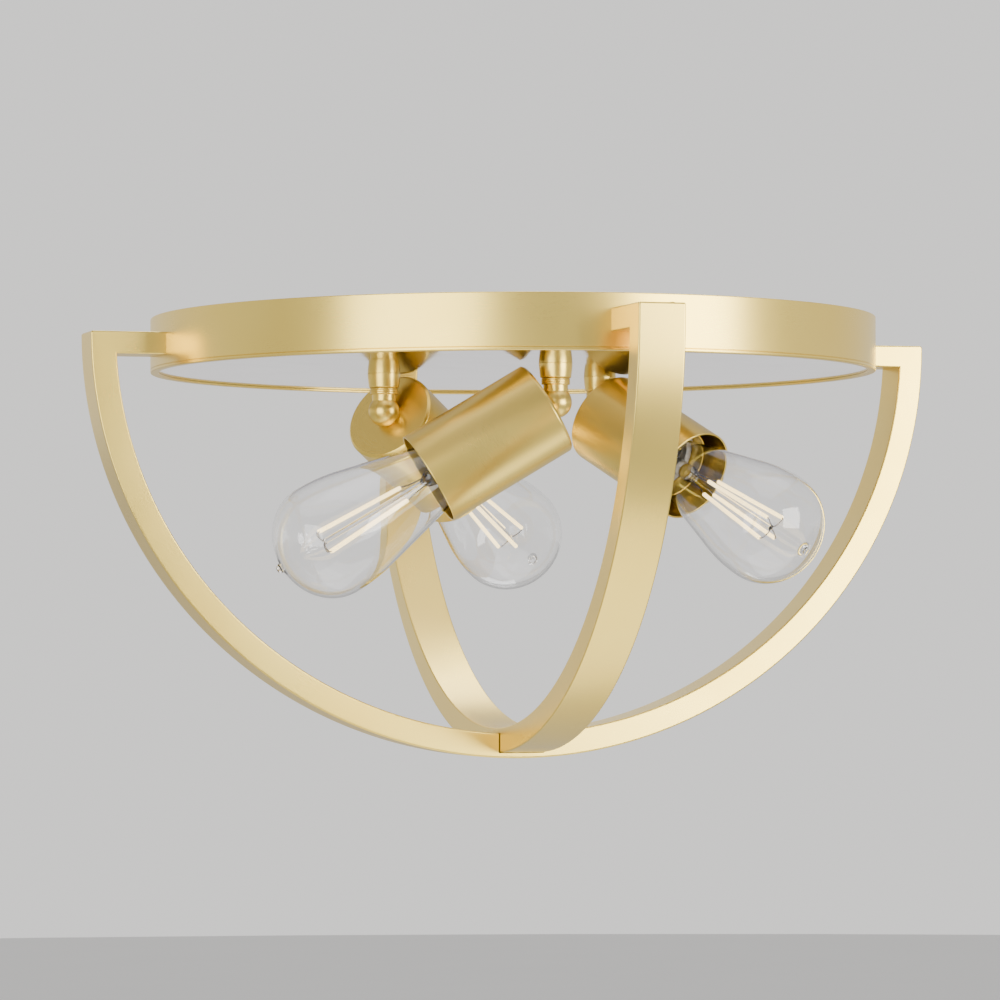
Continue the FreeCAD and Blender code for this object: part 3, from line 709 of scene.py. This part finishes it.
class CEILINGLIGHT_OT_plate(bpy.types.Operator):
    """Mirror plate and the ceiling pan above it"""

    bl_idname = "ceiling_light.plate"
    bl_label = "Plate and pan"

    def execute(self, context):
        dress("mirror_plate", "mirror_steel")
        dress("ceiling_pan", "zinc_steel")
        dress("ground_screw", "green_steel")
        return {"FINISHED"}


def hoop_section(edge, width, steps=3):
    """Points round the tube: (share of the thickness, place across, and both ways' roundings)."""
    half = width / 2
    corners = (((0, half), (0, 1), (1, 0)), ((1, half), (1, 0), (0, -1)),
               ((1, -half), (0, -1), (-1, 0)), ((0, -half), (-1, 0), (0, 1)))
    points = []
    for (share, across), into, out in corners:
        for k in range(steps + 1):
            a, b = (1 - k / steps) ** 2, (k / steps) ** 2
            points.append((share, across + edge * (out[1] * b - into[1] * a),
                           out[0] * b - into[0] * a))
    return points


def hoop_line(reach, depth, start, top, steps=168):
    """Pairs of outer and inner points (outward, height) from one arm's end to the other's."""
    thick, low = sizes().bar_thickness, top - sizes().arm_depth
    nick, straight = 0.7 * MM, 4 * MM
    inner_reach, inner_depth = reach - thick, depth - thick
    first, begin = math.asin(nick / depth), math.asin((top - low) / inner_depth)
    corner = inner_reach * math.cos(begin)
    arm = [((start, top), (start, low)),
           ((start + straight, top), (start + straight, low)),
           ((reach - nick, top), (corner - nick * 0.4, low))]
    bow = []
    for k in range(steps + 1):
        t = first + (math.pi - 2 * first) * k / steps
        s = begin + (math.pi - 2 * begin) * k / steps
        bow.append(((reach * math.cos(t), top - depth * math.sin(t)),
                    (inner_reach * math.cos(s), top - inner_depth * math.sin(s))))
    return arm + bow + [((-o[0], o[1]), (-i[0], i[1])) for o, i in reversed(arm)]


def hoop_shape(box, axis, edge):
    """Swept tube of a hoop, its ends coped to the band; axis 0 runs along X and 1 along Y."""
    bottom, corner = box[0].z, box[1]
    pairs = hoop_line(corner[axis], corner.z - bottom, BAND.outer, corner.z)
    section = hoop_section(edge, 2 * corner[1 - axis])
    verts, grain = [], []
    run = 0.0
    for i, (outer, inner) in enumerate(pairs):
        o, n = Vector(outer), Vector(inner)
        run += (o - Vector(pairs[i - 1][0])).length if i else 0.0
        share = edge / (n - o).length
        around, before = 0.0, None
        for side, across, inset in section:
            spot = o.lerp(n, side + inset * share)
            if i in (0, len(pairs) - 1):
                spot.x = math.copysign(math.sqrt(BAND.outer ** 2 - across ** 2), spot.x)
            here = Vector((spot.x, across, spot.y))
            around += (here - before).length if before else 0.0
            before = here
            verts.append(here if axis == 0 else Vector((-across, spot.x, spot.y)))
            grain.append((run, 0, around))
    return verts, tube_faces(len(pairs), len(section)), grain


class CEILINGLIGHT_OT_hoops(bpy.types.Operator):
    """Two crossed half hoops of rectangular tube, one let into the other"""

    bl_idname = "ceiling_light.hoops"
    bl_label = "Crossed hoops"

    def execute(self, context):
        upper_box, lower_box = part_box("hoop_upper"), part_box("hoop_lower")
        edge = sizes().hoop_edge
        upper = mesh_of("upper_hoop", hoop_shape(upper_box, 1, edge))
        face_outward(upper)
        piece("upper_hoop", upper, "fixture", ["hoop_upper"], "satin_gold")
        lower = mesh_of("lower_hoop", hoop_shape(lower_box, 0, edge))
        face_outward(lower)
        half = upper_box[1].x + sizes().hoop_slit
        notched = self.notched(lower, self.block(half, upper_box[0].z))
        piece("lower_hoop", notched, "fixture", ["hoop_lower"], "satin_gold")
        return {"FINISHED"}

    def block(self, half, floor):
        """A block as wide as the notch, which stands on the notch's floor."""
        across, height = 25 * MM, 30 * MM
        mesh = bpy.data.meshes.new("notch_block")
        with edit(mesh) as work:
            bmesh.ops.create_cube(work, size=2.0)
            for vert in work.verts:
                x, y, z = vert.co
                vert.co = (x * half, y * across, floor + (height if z > 0 else 0))
        return mesh

    def notched(self, hoop, block):
        """The hoop's mesh with the block taken out of it."""
        whole, tool = scratch("lower_whole", hoop), scratch("notch", block)
        cut = whole.modifiers.new("notch", "BOOLEAN")
        cut.operation, cut.solver, cut.object = "DIFFERENCE", "EXACT", tool
        mesh = evaluated_mesh(whole)
        bpy.data.objects.remove(whole)
        bpy.data.objects.remove(tool)
        if len(mesh.polygons) < len(hoop.polygons) / 2:
            raise RuntimeError("the notch took the hoop away")
        return mesh


def screw_head(radius, height):
    """Pan head on its own +X side, its underside at x = 0, with a crossed recess pressed in."""
    rim, crown = radius - 0.05 * MM, height * 0.3
    profile = rounded([(0, 0), (rim, 0, 0.1 * MM), (rim, height * 0.35, crown),
                       (radius * 0.62, height * 0.94, crown), (0, height)], closed=False)
    outward = Matrix(((0, 0, 1, 0), (0, 1, 0, 0), (-1, 0, 0, 0), (0, 0, 0, 1)))
    mesh = mesh_of("screw_head", turned(profile, 40), outward)
    arm_length, arm_width, recess = radius * 0.55, radius * 0.12, height * 0.45
    for vert in mesh.vertices:
        along, aside = sorted((abs(vert.co.y), abs(vert.co.z)), reverse=True)
        if vert.co.x > height * 0.6 and along < arm_length and aside < arm_width:
            vert.co.x -= recess
    return mesh


class CEILINGLIGHT_OT_fasteners(bpy.types.Operator):
    """Screws through the band, and the screws, washers and plugs of the hoops' arms"""

    bl_idname = "ceiling_light.fasteners"
    bl_label = "Fasteners"

    def execute(self, context):
        for node in ("arm_plugs", "arm_screws", "arm_washers", "friction_washers"):
            dress(node, "zinc_steel")
        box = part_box("side_screws")
        room = Reach("side_screws").outer - BAND.outer
        head = screw_head(sizes().head_radius, min(room, sizes().head_height) - 0.05 * MM)
        mesh = set_out_on_a_ring().make(
            head, count=3, radius=BAND.outer, first=self.first_bearing(),
            height=(box[0].z + box[1].z) / 2, material=finish("satin_gold"))
        piece("side_screw_heads", mesh, "fixture", ["side_screws"], "satin_gold")
        return {"FINISHED"}

    def first_bearing(self):
        """Bearing of the front screw, from the middle of its points."""
        spots = [v.co for v in frame["nodes"]["side_screws"].data.vertices]
        near = [p for p in spots if p.y < -0.5 * BAND.outer]
        middle = sum((p.xy for p in near), Vector((0, 0))) / len(near)
        return math.atan2(middle.y, middle.x)


class CEILINGLIGHT_OT_stems(bpy.types.Operator):
    """Collars under the plate, with the nuts and tubes that hold the swivels"""

    bl_idname = "ceiling_light.stems"
    bl_label = "Stems"

    def execute(self, context):
        edge = sizes().turned_edge
        for tag in LAMPS:
            place = stem_place(tag)
            size = Reach("collar_" + tag, place)
            tip = size.radius_at(size.low)
            belly = min(size.widest())
            profile = rounded([
                (size.inner, size.high), (size.outer, size.high, 0.15 * MM),
                (size.outer - 0.15 * MM, belly, 1.5 * MM), (tip, size.low + 0.3 * MM, edge),
                (tip - 0.5 * MM, size.low, 0.2 * MM), (size.inner, size.low)])
            mesh = mesh_of("collar", turned(profile, 96), place)
            piece("collar_of_stem_" + tag, mesh, "fixture", ["collar_" + tag], "satin_gold")
            for node in ("swivel_nut_", "stem_tube_"):
                dress(node + tag, "zinc_steel")
        return {"FINISHED"}


class CEILINGLIGHT_OT_elbows(bpy.types.Operator):
    """Ball elbows: grooved ring, short neck and a ball with a flat for the cup"""

    bl_idname = "ceiling_light.elbows"
    bl_label = "Ball elbows"

    def execute(self, context):
        for tag in LAMPS:
            place, lamp = stem_place(tag), lamp_place(tag)
            node = "ball_elbow_" + tag
            size = Reach(node, place)
            centre = lamp.translation.z
            corners = self.corners(size.radius_at(size.high), size.high, centre, centre - size.low)
            mesh = mesh_of("elbow", turned(rounded(corners, closed=False), 96), place)
            self.flatten(mesh, lamp, Reach("cup_" + tag, lamp).low)
            piece("elbow_of_lamp_" + tag, mesh, "lamp_" + tag, [node], "satin_gold")
        return {"FINISHED"}

    def corners(self, ring, top, centre, ball):
        """Ring with two fine grooves, a waist, and the ball down to its pole."""
        depth, lip, fine, edge = 0.28 * MM, 0.15 * MM, 0.1 * MM, 0.2 * MM
        neck, foot = ring - 1.0 * MM, top - 3.0 * MM
        corners = [(0, top), (ring - 0.2 * MM, top, edge), (ring, top - 0.5 * MM, edge)]
        for groove in (top - 1.1 * MM, top - 2.1 * MM):
            corners += [(ring, groove + lip, fine), (ring - depth, groove, fine),
                        (ring, groove - lip, fine)]
        corners += [(ring, foot, edge), (neck, foot - 0.3 * MM, edge)]
        start, steps = math.asin(min(0.98, neck / ball)), 28
        corners.append((neck, centre + ball * math.cos(start), 0.5 * MM))
        for k in range(1, steps):
            bearing = start + (math.pi - start) * k / steps
            corners.append((ball * math.sin(bearing), centre + ball * math.cos(bearing)))
        return corners + [(0, centre - ball)]

    def flatten(self, mesh, lamp, out):
        """Cuts the ball off flat where the cup sits."""
        with edit(mesh) as work:
            cut = bmesh.ops.bisect_plane(
                work, geom=work.verts[:] + work.edges[:] + work.faces[:],
                plane_co=lamp @ Vector((0, 0, out)), plane_no=lamp.to_3x3() @ Vector((0, 0, 1)),
                clear_outer=True)
            rim = [e for e in cut["geom_cut"] if isinstance(e, bmesh.types.BMEdge)]
            bmesh.ops.contextual_create(work, geom=rim)
            bmesh.ops.recalc_face_normals(work, faces=work.faces)


class CEILINGLIGHT_OT_cups(bpy.types.Operator):
    """Spun cups, open at the rim, with a bevelled closed end"""

    bl_idname = "ceiling_light.cups"
    bl_label = "Cups"

    def execute(self, context):
        wall, bevel, edge = sizes().cup_wall, sizes().cup_bevel, sizes().turned_edge
        for tag in LAMPS:
            place = lamp_place(tag)
            size = Reach("cup_" + tag, place)
            outer, inner = size.outer, size.outer - wall
            turn_in = bevel + wall * math.tan(math.radians(22.5))
            profile = rounded([
                (size.inner, size.low), (outer - bevel, size.low, edge),
                (outer, size.low + bevel, edge), (outer, size.high, 0.4 * MM),
                (inner, size.high, 0.4 * MM), (inner, size.low + turn_in, 0.6 * MM),
                (outer - turn_in, size.low + wall, 0.6 * MM), (size.inner, size.low + wall)])
            mesh = mesh_of("cup", turned(profile, 160), place)
            piece("cup_of_lamp_" + tag, mesh, "lamp_" + tag, ["cup_" + tag], "satin_gold")
            for node in ("cup_nut_", "side_tube_"):
                dress(node + tag, "zinc_steel")
        return {"FINISHED"}


class CEILINGLIGHT_OT_lampholders(bpy.types.Operator):
    """Lampholders: moulded body, metal sleeve, threaded shell and centre contact"""

    bl_idname = "ceiling_light.lampholders"
    bl_label = "Lampholders"

    def execute(self, context):
        for tag in LAMPS:
            place, body = lamp_place(tag), "lamp_" + tag
            self.holder(tag, place, body)
            self.sleeve(tag, place, body)
            self.shell(tag, place, body)
            dress("centre_tab_" + tag, "brass")
        return {"FINISHED"}

    def holder(self, tag, place, body):
        """Moulded body with the bore that holds the shell."""
        size = Reach("lampholder_" + tag, place)
        shell = Reach("screw_shell_" + tag, place)
        bore = shell.outer + 0.2 * MM
        profile = rounded([
            (size.inner, size.low), (size.outer * 0.72, size.low, 0.8 * MM),
            (size.outer, shell.low, 0.8 * MM), (size.outer, size.high, 0.8 * MM),
            (bore, size.high, 0.6 * MM), (bore, shell.low), (size.inner, shell.low)])
        mesh = mesh_of("holder", turned(profile, 96), place)
        piece("lampholder_body_" + tag, mesh, body, ["lampholder_" + tag], "phenolic")

    def sleeve(self, tag, place, body):
        """Thin metal sleeve round the body."""
        size = Reach("holder_sleeve_" + tag, place)
        profile = rounded([
            (size.inner, size.low), (size.outer, size.low, 0.2 * MM),
            (size.outer, size.high, 0.35 * MM), (size.inner, size.high, 0.35 * MM)])
        mesh = mesh_of("sleeve", turned(profile, 128), place)
        piece("sleeve_of_lamp_" + tag, mesh, body, ["holder_sleeve_" + tag], "satin_gold")

    def shell(self, tag, place, body):
        """Thin metal shell with the thread rolled into its wall."""
        size = Reach("screw_shell_" + tag, place)
        wall, depth = sizes().shell_wall, sizes().thread_depth * 0.4
        outer = size.outer - depth
        inner, start, end = outer - wall, size.low + 2.0 * MM, size.high - 1.5 * MM
        walls = evenly(start, end, 44)
        profile = [Vector(corner) for corner in (
            (size.inner, size.low), (outer, size.low), *((outer, z) for z in walls),
            (size.outer, size.high), (size.outer - wall, size.high),
            *((inner, z) for z in reversed(walls)),
            (inner, size.low + wall), (size.inner, size.low + wall))]
        mesh = mesh_of("shell", turned(profile, 72, thread_wave(start, end, depth)), place)
        piece("screw_shell_of_lamp_" + tag, mesh, body, ["screw_shell_" + tag], "brass", sharp=60)


def evenly(start, end, steps):
    """Numbers in even steps from start to end."""
    return [start + (end - start) * k / steps for k in range(steps + 1)]


def thread_wave(start, end, depth, inside=0.0):
    """Rolled right-hand thread between two heights, fading out at both; none inside a radius."""
    pitch = sizes().thread_pitch

    def wave(point, bearing):
        if point.x <= inside:
            return 0.0
        fade = min(1.0, max(0.0, (point.y - start) / pitch), max(0.0, (end - point.y) / pitch))
        return depth * fade * math.cos(2 * math.pi * point.y / pitch - bearing)

    return wave


class CEILINGLIGHT_OT_bulb_caps(bpy.types.Operator):
    """Threaded bulb caps, with the black insulator and soldered button below them"""

    bl_idname = "ceiling_light.bulb_caps"
    bl_label = "Bulb caps"

    def execute(self, context):
        for tag in LAMPS:
            place = lamp_place(tag)
            self.cap(tag, place)
            self.button(tag, place)
        return {"FINISHED"}

    def cap(self, tag, place):
        """Threaded cap with a plain collar that grips the glass."""
        size = Reach("bulb_cap_" + tag, place)
        wall, depth = sizes().shell_wall, sizes().thread_depth * 0.5
        outer, start, end = size.outer - depth, size.low + 2.2 * MM, size.high - 5.0 * MM
        collar, lip, floor = outer + depth * 0.6, outer - 0.1 * MM, size.low + 2.4 * MM
        foot = [(0, size.low), (outer - 2.2 * MM, size.low),
                (outer - 0.8 * MM, size.low + 0.6 * MM), (outer, size.low + 1.6 * MM)]
        rim = rounded([
            (outer, end), (collar, end + 1.2 * MM, 0.5 * MM),
            (collar, size.high - 0.7 * MM, 0.5 * MM), (lip, size.high, 0.2 * MM),
            (lip - wall, size.high - 0.4 * MM, 0.1 * MM), (lip - wall, floor)], closed=False)
        profile = [Vector(corner) for corner in foot]
        profile += [Vector((outer, z)) for z in evenly(start, end, 56)]
        profile += rim[1:] + [Vector((0, floor))]
        wave = thread_wave(start, end, depth, inside=outer - wall * 0.5)
        mesh = mesh_of("cap", turned(profile, 84, wave), place)
        piece("bulb_screw_cap_" + tag, mesh, "bulb_" + tag, ["bulb_cap_" + tag], "cap_metal",
              sharp=60)

    def button(self, tag, place):
        """Black glass insulator with a soldered contact in its middle."""
        size = Reach("bulb_button_" + tag, place)
        contact, step = 4.4 * MM, size.low + 1.0 * MM
        profile = rounded([
            (0, size.low), (3.2 * MM, size.low + 0.1 * MM, 1.0 * MM), (contact, step, 0.3 * MM),
            (6.0 * MM, step, 0.6 * MM), (size.outer - 1.0 * MM, size.high - 1.2 * MM, 0.8 * MM),
            (size.outer, size.high, 0.2 * MM), (0, size.high)], closed=False)
        mesh = mesh_of("button", turned(profile, 64), place)
        for skin in ("insulator", "solder"):
            mesh.materials.append(finish(skin))
        back = place.inverted()
        for face in mesh.polygons:
            x, y, z = back @ face.center
            if math.hypot(x, y) < contact and z < step + 0.1 * MM:
                face.material_index = 1
        piece("bulb_contact_" + tag, mesh, "bulb_seat_" + tag, ["bulb_button_" + tag], "insulator")


def glass_line(size, neck_end, inset, end_radius, dome_end):
    """Side of the envelope from foot to dome: neck, straight cone, shoulder arc and dome."""
    neck = Vector((size.radius_at(size.low) - inset, neck_end))
    foot = Vector((neck.x, size.low))
    widest = Vector((size.outer - inset, sum(size.widest()) / len(size.widest())))
    bend = sizes().glass_shoulder - inset
    centre = widest - Vector((bend, 0))
    gap = centre - neck
    run = math.sqrt(gap.length ** 2 - bend ** 2)
    lean = math.atan2(gap.x, gap.y) + math.atan2(bend, run)
    tangent = neck + Vector((math.sin(lean), math.cos(lean))) * run
    high = math.atan2(tangent.y - centre.y, tangent.x - centre.x)
    bend_in = rounded([tuple(foot), (*neck, 1.2 * MM), tuple(tangent)], closed=False, steps=5)
    points = [foot] + bend_in[1:-1]
    points += [neck.lerp(tangent, k / 6) for k in range(1, 6)]
    points += [centre + bend * Vector((math.cos(t), math.sin(t))) for t in evenly(high, 0, 16)]
    dome = dome_end - inset - widest.y
    stop = math.acos(min(1.0, end_radius / widest.x))
    points += [widest + Vector((widest.x * (math.cos(t) - 1), dome * math.sin(t)))
               for t in evenly(0, stop, 28)[1:]]
    if end_radius == 0:
        points[-1].x = 0.0
    return points


class CEILINGLIGHT_OT_bulb_glass(bpy.types.Operator):
    """Clear envelopes with a sealed tip, and the glass stem inside"""

    bl_idname = "ceiling_light.bulb_glass"
    bl_label = "Bulb glass"

    def execute(self, context):
        for tag in LAMPS:
            place = lamp_place(tag)
            self.envelope(tag, place)
            self.mount(tag, place)
        return {"FINISHED"}

    def envelope(self, tag, place):
        """Clear glass with both its faces, closed by the sealed tip."""
        size = Reach("bulb_glass_" + tag, place)
        neck_end = Reach("bulb_cap_" + tag, place).high + sizes().glass_neck
        tip, dome_end = sizes().tip_radius, size.high - sizes().tip_length
        outer = glass_line(size, neck_end, 0.0, tip * 1.5, dome_end)
        inner = glass_line(size, neck_end, sizes().glass_wall, 0.0, dome_end)
        last = outer[-1]
        nib = rounded([
            tuple(last), (tip * 0.95, last.y + 0.7 * MM, 0.7 * MM),
            (tip * 0.8, size.high - 0.3 * MM, 1.2 * MM), (0, size.high)], closed=False, steps=6)
        mesh = mesh_of("glass", turned(outer + nib[1:] + inner[::-1], 128), place)
        piece("bulb_envelope_" + tag, mesh, "bulb_" + tag, ["bulb_glass_" + tag], "clear_glass",
              sharp=80)

    def mount(self, tag, place):
        """Flared glass tube, pinched round the wires, with a thin post up to the hooks."""
        size = Reach("glass_mount_" + tag, place)
        tube, post = sizes().mount_tube, sizes().mount_post
        low, high, pinch = size.low, size.high, size.low + sizes().mount_rise
        profile = rounded([
            (0, low), (size.outer, low, 0.3 * MM),
            (size.outer - 0.3 * MM, low + 1.2 * MM, 0.5 * MM),
            (tube + 2.0 * MM, low + 3.2 * MM, 2.0 * MM), (tube, low + 6.5 * MM, 2.5 * MM),
            (tube, pinch - 4.5 * MM, 2.0 * MM), (tube * 0.75, pinch - 1.5 * MM, 1.2 * MM),
            (post, pinch, 1.0 * MM), (post, high - 1.2 * MM, 0.3 * MM),
            (post * 1.3, high - 0.6 * MM, 0.5 * MM), (0, high)], closed=False)
        mesh = mesh_of("mount", turned(profile, 48), place)
        piece("bulb_glass_stem_" + tag, mesh, "bulb_" + tag, ["glass_mount_" + tag], "clear_glass",
              sharp=60)


def rod(path, radius, sides=10):
    """Round rod along a path of points, closed at both ends."""
    verts, grain = [], []
    run = 0.0
    for i, point in enumerate(path):
        ahead = path[min(i + 1, len(path) - 1)] - path[max(i - 1, 0)]
        turn = ahead.to_track_quat("Z", "Y")
        run += (point - path[i - 1]).length if i else 0.0
        for j in range(sides):
            bearing = 2 * math.pi * j / sides
            spot = Vector((radius * math.cos(bearing), radius * math.sin(bearing), 0))
            verts.append(point + turn @ spot)
            grain.append((bearing * radius, 0, run))
    return verts, tube_faces(len(path), sides), grain


def together(shapes):
    """Several shapes as one."""
    verts, faces, grain = [], [], []
    for more, sides, lines in shapes:
        faces += [[n + len(verts) for n in face] for face in sides]
        verts += more
        grain += lines
    return verts, faces, grain


class CEILINGLIGHT_OT_filaments(bpy.types.Operator):
    """Upright light sticks and the wires that hold them"""

    bl_idname = "ceiling_light.filaments"
    bl_label = "Filaments"

    def execute(self, context):
        ring = set_out_on_a_ring()
        for tag in LAMPS:
            place = lamp_place(tag)
            size = Reach("filaments_" + tag, place)
            mount = Reach("glass_mount_" + tag, place)
            low, high = size.low + 0.5 * MM, size.high - 0.5 * MM
            for name, base, skin, slot in (
                    ("light_sticks_", self.stick(low, high), "light_stick", "filament"),
                    ("support_wires_", self.wires(low, high, mount.low + 27 * MM),
                     "support_wire", "cap_metal")):
                mesh = ring.make(base, count=sizes().sticks, radius=ON_AXIS,
                                 first=math.radians(45), material=finish(skin))
                mesh.transform(place)
                piece(name + tag, mesh, "bulb_" + tag, ["filaments_" + tag], skin)
        return {"FINISHED"}

    def stick(self, low, high):
        """One coated stick leaning outward, rounded at both ends."""
        radius, foot = sizes().stick_radius, sizes().stick_foot
        way = Vector((sizes().stick_head - foot, 0, high - low))
        soft, tall = radius * 0.6, way.length
        profile = rounded([(0, 0), (radius, 0, soft), (radius, tall, soft), (0, tall)],
                          closed=False)
        lean = way.to_track_quat("Z", "Y").to_matrix().to_4x4()
        place = Matrix.Translation((foot, 0, low)) @ lean
        return mesh_of("stick", turned(profile, 20), place)

    def wires(self, low, high, pinch):
        """Foot lead and head hook of one stick, each bent out of the glass mount."""
        foot, head = sizes().stick_foot, sizes().stick_head
        post = sizes().mount_post - 0.2 * MM
        lead = ((2.2 * MM, pinch), (2.5 * MM, pinch + 2 * MM), (3.6 * MM, low - 3.2 * MM),
                (foot - 0.3 * MM, low - 1.5 * MM), (foot, low + 0.5 * MM))
        hook = ((post, high + 0.5 * MM), (post + 2.0 * MM, high + 1.2 * MM),
                (head - 1.6 * MM, high + 1.2 * MM), (head - 0.3 * MM, high + 0.8 * MM),
                (head, high - 0.8 * MM))
        return mesh_of("wires", together([
            rod(smoothed([Vector((x, 0, z)) for x, z in line]), sizes().wire_radius)
            for line in (lead, hook)]))


def smoothed(points, rounds=2):
    """Corner-cut line through control points, keeping both ends."""
    for _ in range(rounds):
        cut = [points[0]]
        for a, b in zip(points, points[1:]):
            cut += [a.lerp(b, 0.25), a.lerp(b, 0.75)]
        points = cut + [points[-1]]
    return points


class CEILINGLIGHT_OT_stage(bpy.types.Operator):
    """Pale floor, soft studio light and the camera"""

    bl_idname = "ceiling_light.stage"
    bl_label = "Stage"

    def execute(self, context):
        self.floor()
        self.room()
        self.lights()
        self.camera()
        return {"FINISHED"}

    def floor(self):
        """Wide pale floor well below the light."""
        mesh = bpy.data.meshes.new("floor")
        with edit(mesh) as work:
            bmesh.ops.create_circle(work, cap_ends=True, segments=96,
                                    radius=setting().floor_reach)
        made = Finish("pale_floor")
        pale = colours().floor
        made.drive("Base Color", made.blend(made.noise(1.2), pale, dulled(pale, 0.97)))
        made.set(roughness=0.8)
        mesh.materials.append(made.material)
        floor = scratch("studio_floor", mesh)
        floor.location.z = -setting().floor_drop

    def room(self):
        """Pale room, dimmer behind the camera and a little dimmer overhead."""
        world = bpy.data.worlds.new("room")
        world.use_nodes = True
        nodes, link = world.node_tree.nodes, world.node_tree.links.new
        sky = nodes["Background"]
        sky.inputs["Color"].default_value = (1.0, 0.985, 0.965, 1)
        way = nodes.new("ShaderNodeTexCoord").outputs["Generated"]
        facing, height = nodes.new("ShaderNodeVectorMath"), nodes.new("ShaderNodeSeparateXYZ")
        facing.operation = "DOT_PRODUCT"
        turn = setting().camera_turn
        facing.inputs[1].default_value = (math.sin(turn), -math.cos(turn), 0)
        light = nodes.new("ShaderNodeMath")
        light.operation = "MULTIPLY"
        fades = ((facing, "Value", -0.35, 0.55, setting().room_light, setting().room_shade),
                 (height, "Z", 0.12, 0.75, 1.0, setting().overhead_shade))
        for i, (source, output, *span) in enumerate(fades):
            link(way, source.inputs[0])
            fade = nodes.new("ShaderNodeMapRange")
            fade.interpolation_type = "SMOOTHSTEP"
            set_span(fade, *span)
            link(source.outputs[output], fade.inputs["Value"])
            link(fade.outputs["Result"], light.inputs[i])
        link(light.outputs[0], sky.inputs["Strength"])
        bpy.context.scene.world = world

    def lights(self):
        """Four soft square lamps round the ceiling light: place, width, power and tint."""
        key, aim = setting().key_power, Vector((0, 0, -0.1))
        for name, spot, size, power, tint in (
                ("key", (1.7, -2.4, 0.2), 1.8, key, (1.0, 0.98, 0.95)),
                ("fill", (-2.2, -2.0, 0.1), 2.2, key * 0.7, (1.0, 1.0, 1.0)),
                ("under", (0.3, -0.4, -2.0), 2.2, key * 0.2, (1.0, 0.99, 0.97)),
                ("back", (0.9, 1.9, 2.4), 1.6, key * 0.4, (1.0, 1.0, 1.0))):
            data = bpy.data.lights.new(name, "AREA")
            data.size, data.energy, data.color = size, power, tint
            lamp = scratch(name, data)
            lamp.location = spot
            lamp.rotation_euler = (aim - Vector(spot)).to_track_quat("-Z", "Y").to_euler()

    def camera(self):
        """Camera at the photograph's place, turned by its small roll."""
        view = setting()
        turn, rise = view.camera_turn, view.camera_rise
        back = Vector((math.sin(turn) * math.cos(rise), -math.cos(turn) * math.cos(rise),
                       math.sin(rise)))
        right = (-back).cross(Vector((0, 0, 1))).normalized()
        up = right.cross(-back)
        cos, sin = math.cos(view.camera_roll), math.sin(view.camera_roll)
        across, upward = right * cos + up * sin, up * cos - right * sin
        data = bpy.data.cameras.new("camera")
        data.lens = view.camera_lens
        data.sensor_width = 36.0
        data.clip_start, data.clip_end = 0.05, 100.0
        camera = scratch("camera", data)
        aim = Vector((0, 0, view.camera_height)) + right * view.camera_aside
        axes = Matrix((across, upward, back)).transposed().to_4x4()
        camera.matrix_world = Matrix.Translation(aim + back * view.camera_distance) @ axes
        bpy.context.scene.camera = camera


class CEILINGLIGHT_PT_panel(bpy.types.Panel):
    """Lists the steps that make the ceiling light"""

    bl_idname = "CEILINGLIGHT_PT_panel"
    bl_label = "Ceiling light"
    bl_space_type = "VIEW_3D"
    bl_region_type = "UI"
    bl_category = "Ceiling light"

    def draw(self, context):
        """Draws a button for each step, then the sizes, colours and stage."""
        for step in OPERATORS:
            self.layout.operator(step.bl_idname)
        for group, members in ((sizes(), CeilingLightSizes), (colours(), CeilingLightColours),
                               (setting(), CeilingLightStage)):
            for name in members.__annotations__:
                self.layout.prop(group, name)


GROUPS = (CeilingLightSizes, CeilingLightColours, CeilingLightStage)
OPERATORS = (
    CEILINGLIGHT_OT_band, CEILINGLIGHT_OT_plate, CEILINGLIGHT_OT_hoops,
    CEILINGLIGHT_OT_fasteners, CEILINGLIGHT_OT_stems, CEILINGLIGHT_OT_elbows,
    CEILINGLIGHT_OT_cups, CEILINGLIGHT_OT_lampholders, CEILINGLIGHT_OT_bulb_caps,
    CEILINGLIGHT_OT_bulb_glass, CEILINGLIGHT_OT_filaments, CEILINGLIGHT_OT_stage,
)
CLASSES = (*GROUPS, *OPERATORS, CEILINGLIGHT_PT_panel)


def register():
    """Registers every class and hangs the groups on the scene."""
    for kind in CLASSES:
        bpy.utils.register_class(kind)
    scene = bpy.types.Scene
    scene.ceiling_light_sizes = PointerProperty(type=CeilingLightSizes)
    scene.ceiling_light_colours = PointerProperty(type=CeilingLightColours)
    scene.ceiling_light_stage = PointerProperty(type=CeilingLightStage)


def unregister():
    """Takes the groups off the scene and every class away."""
    scene = bpy.types.Scene
    del scene.ceiling_light_stage, scene.ceiling_light_colours, scene.ceiling_light_sizes
    for kind in reversed(CLASSES):
        bpy.utils.unregister_class(kind)


def main():
    """Makes the ceiling light step by step."""
    register()
    for step in OPERATORS:
        family, name = step.bl_idname.split(".")
        getattr(getattr(bpy.ops, family), name)()
    bpy.context.view_layer.update()


if __name__ == "__main__":
    main()
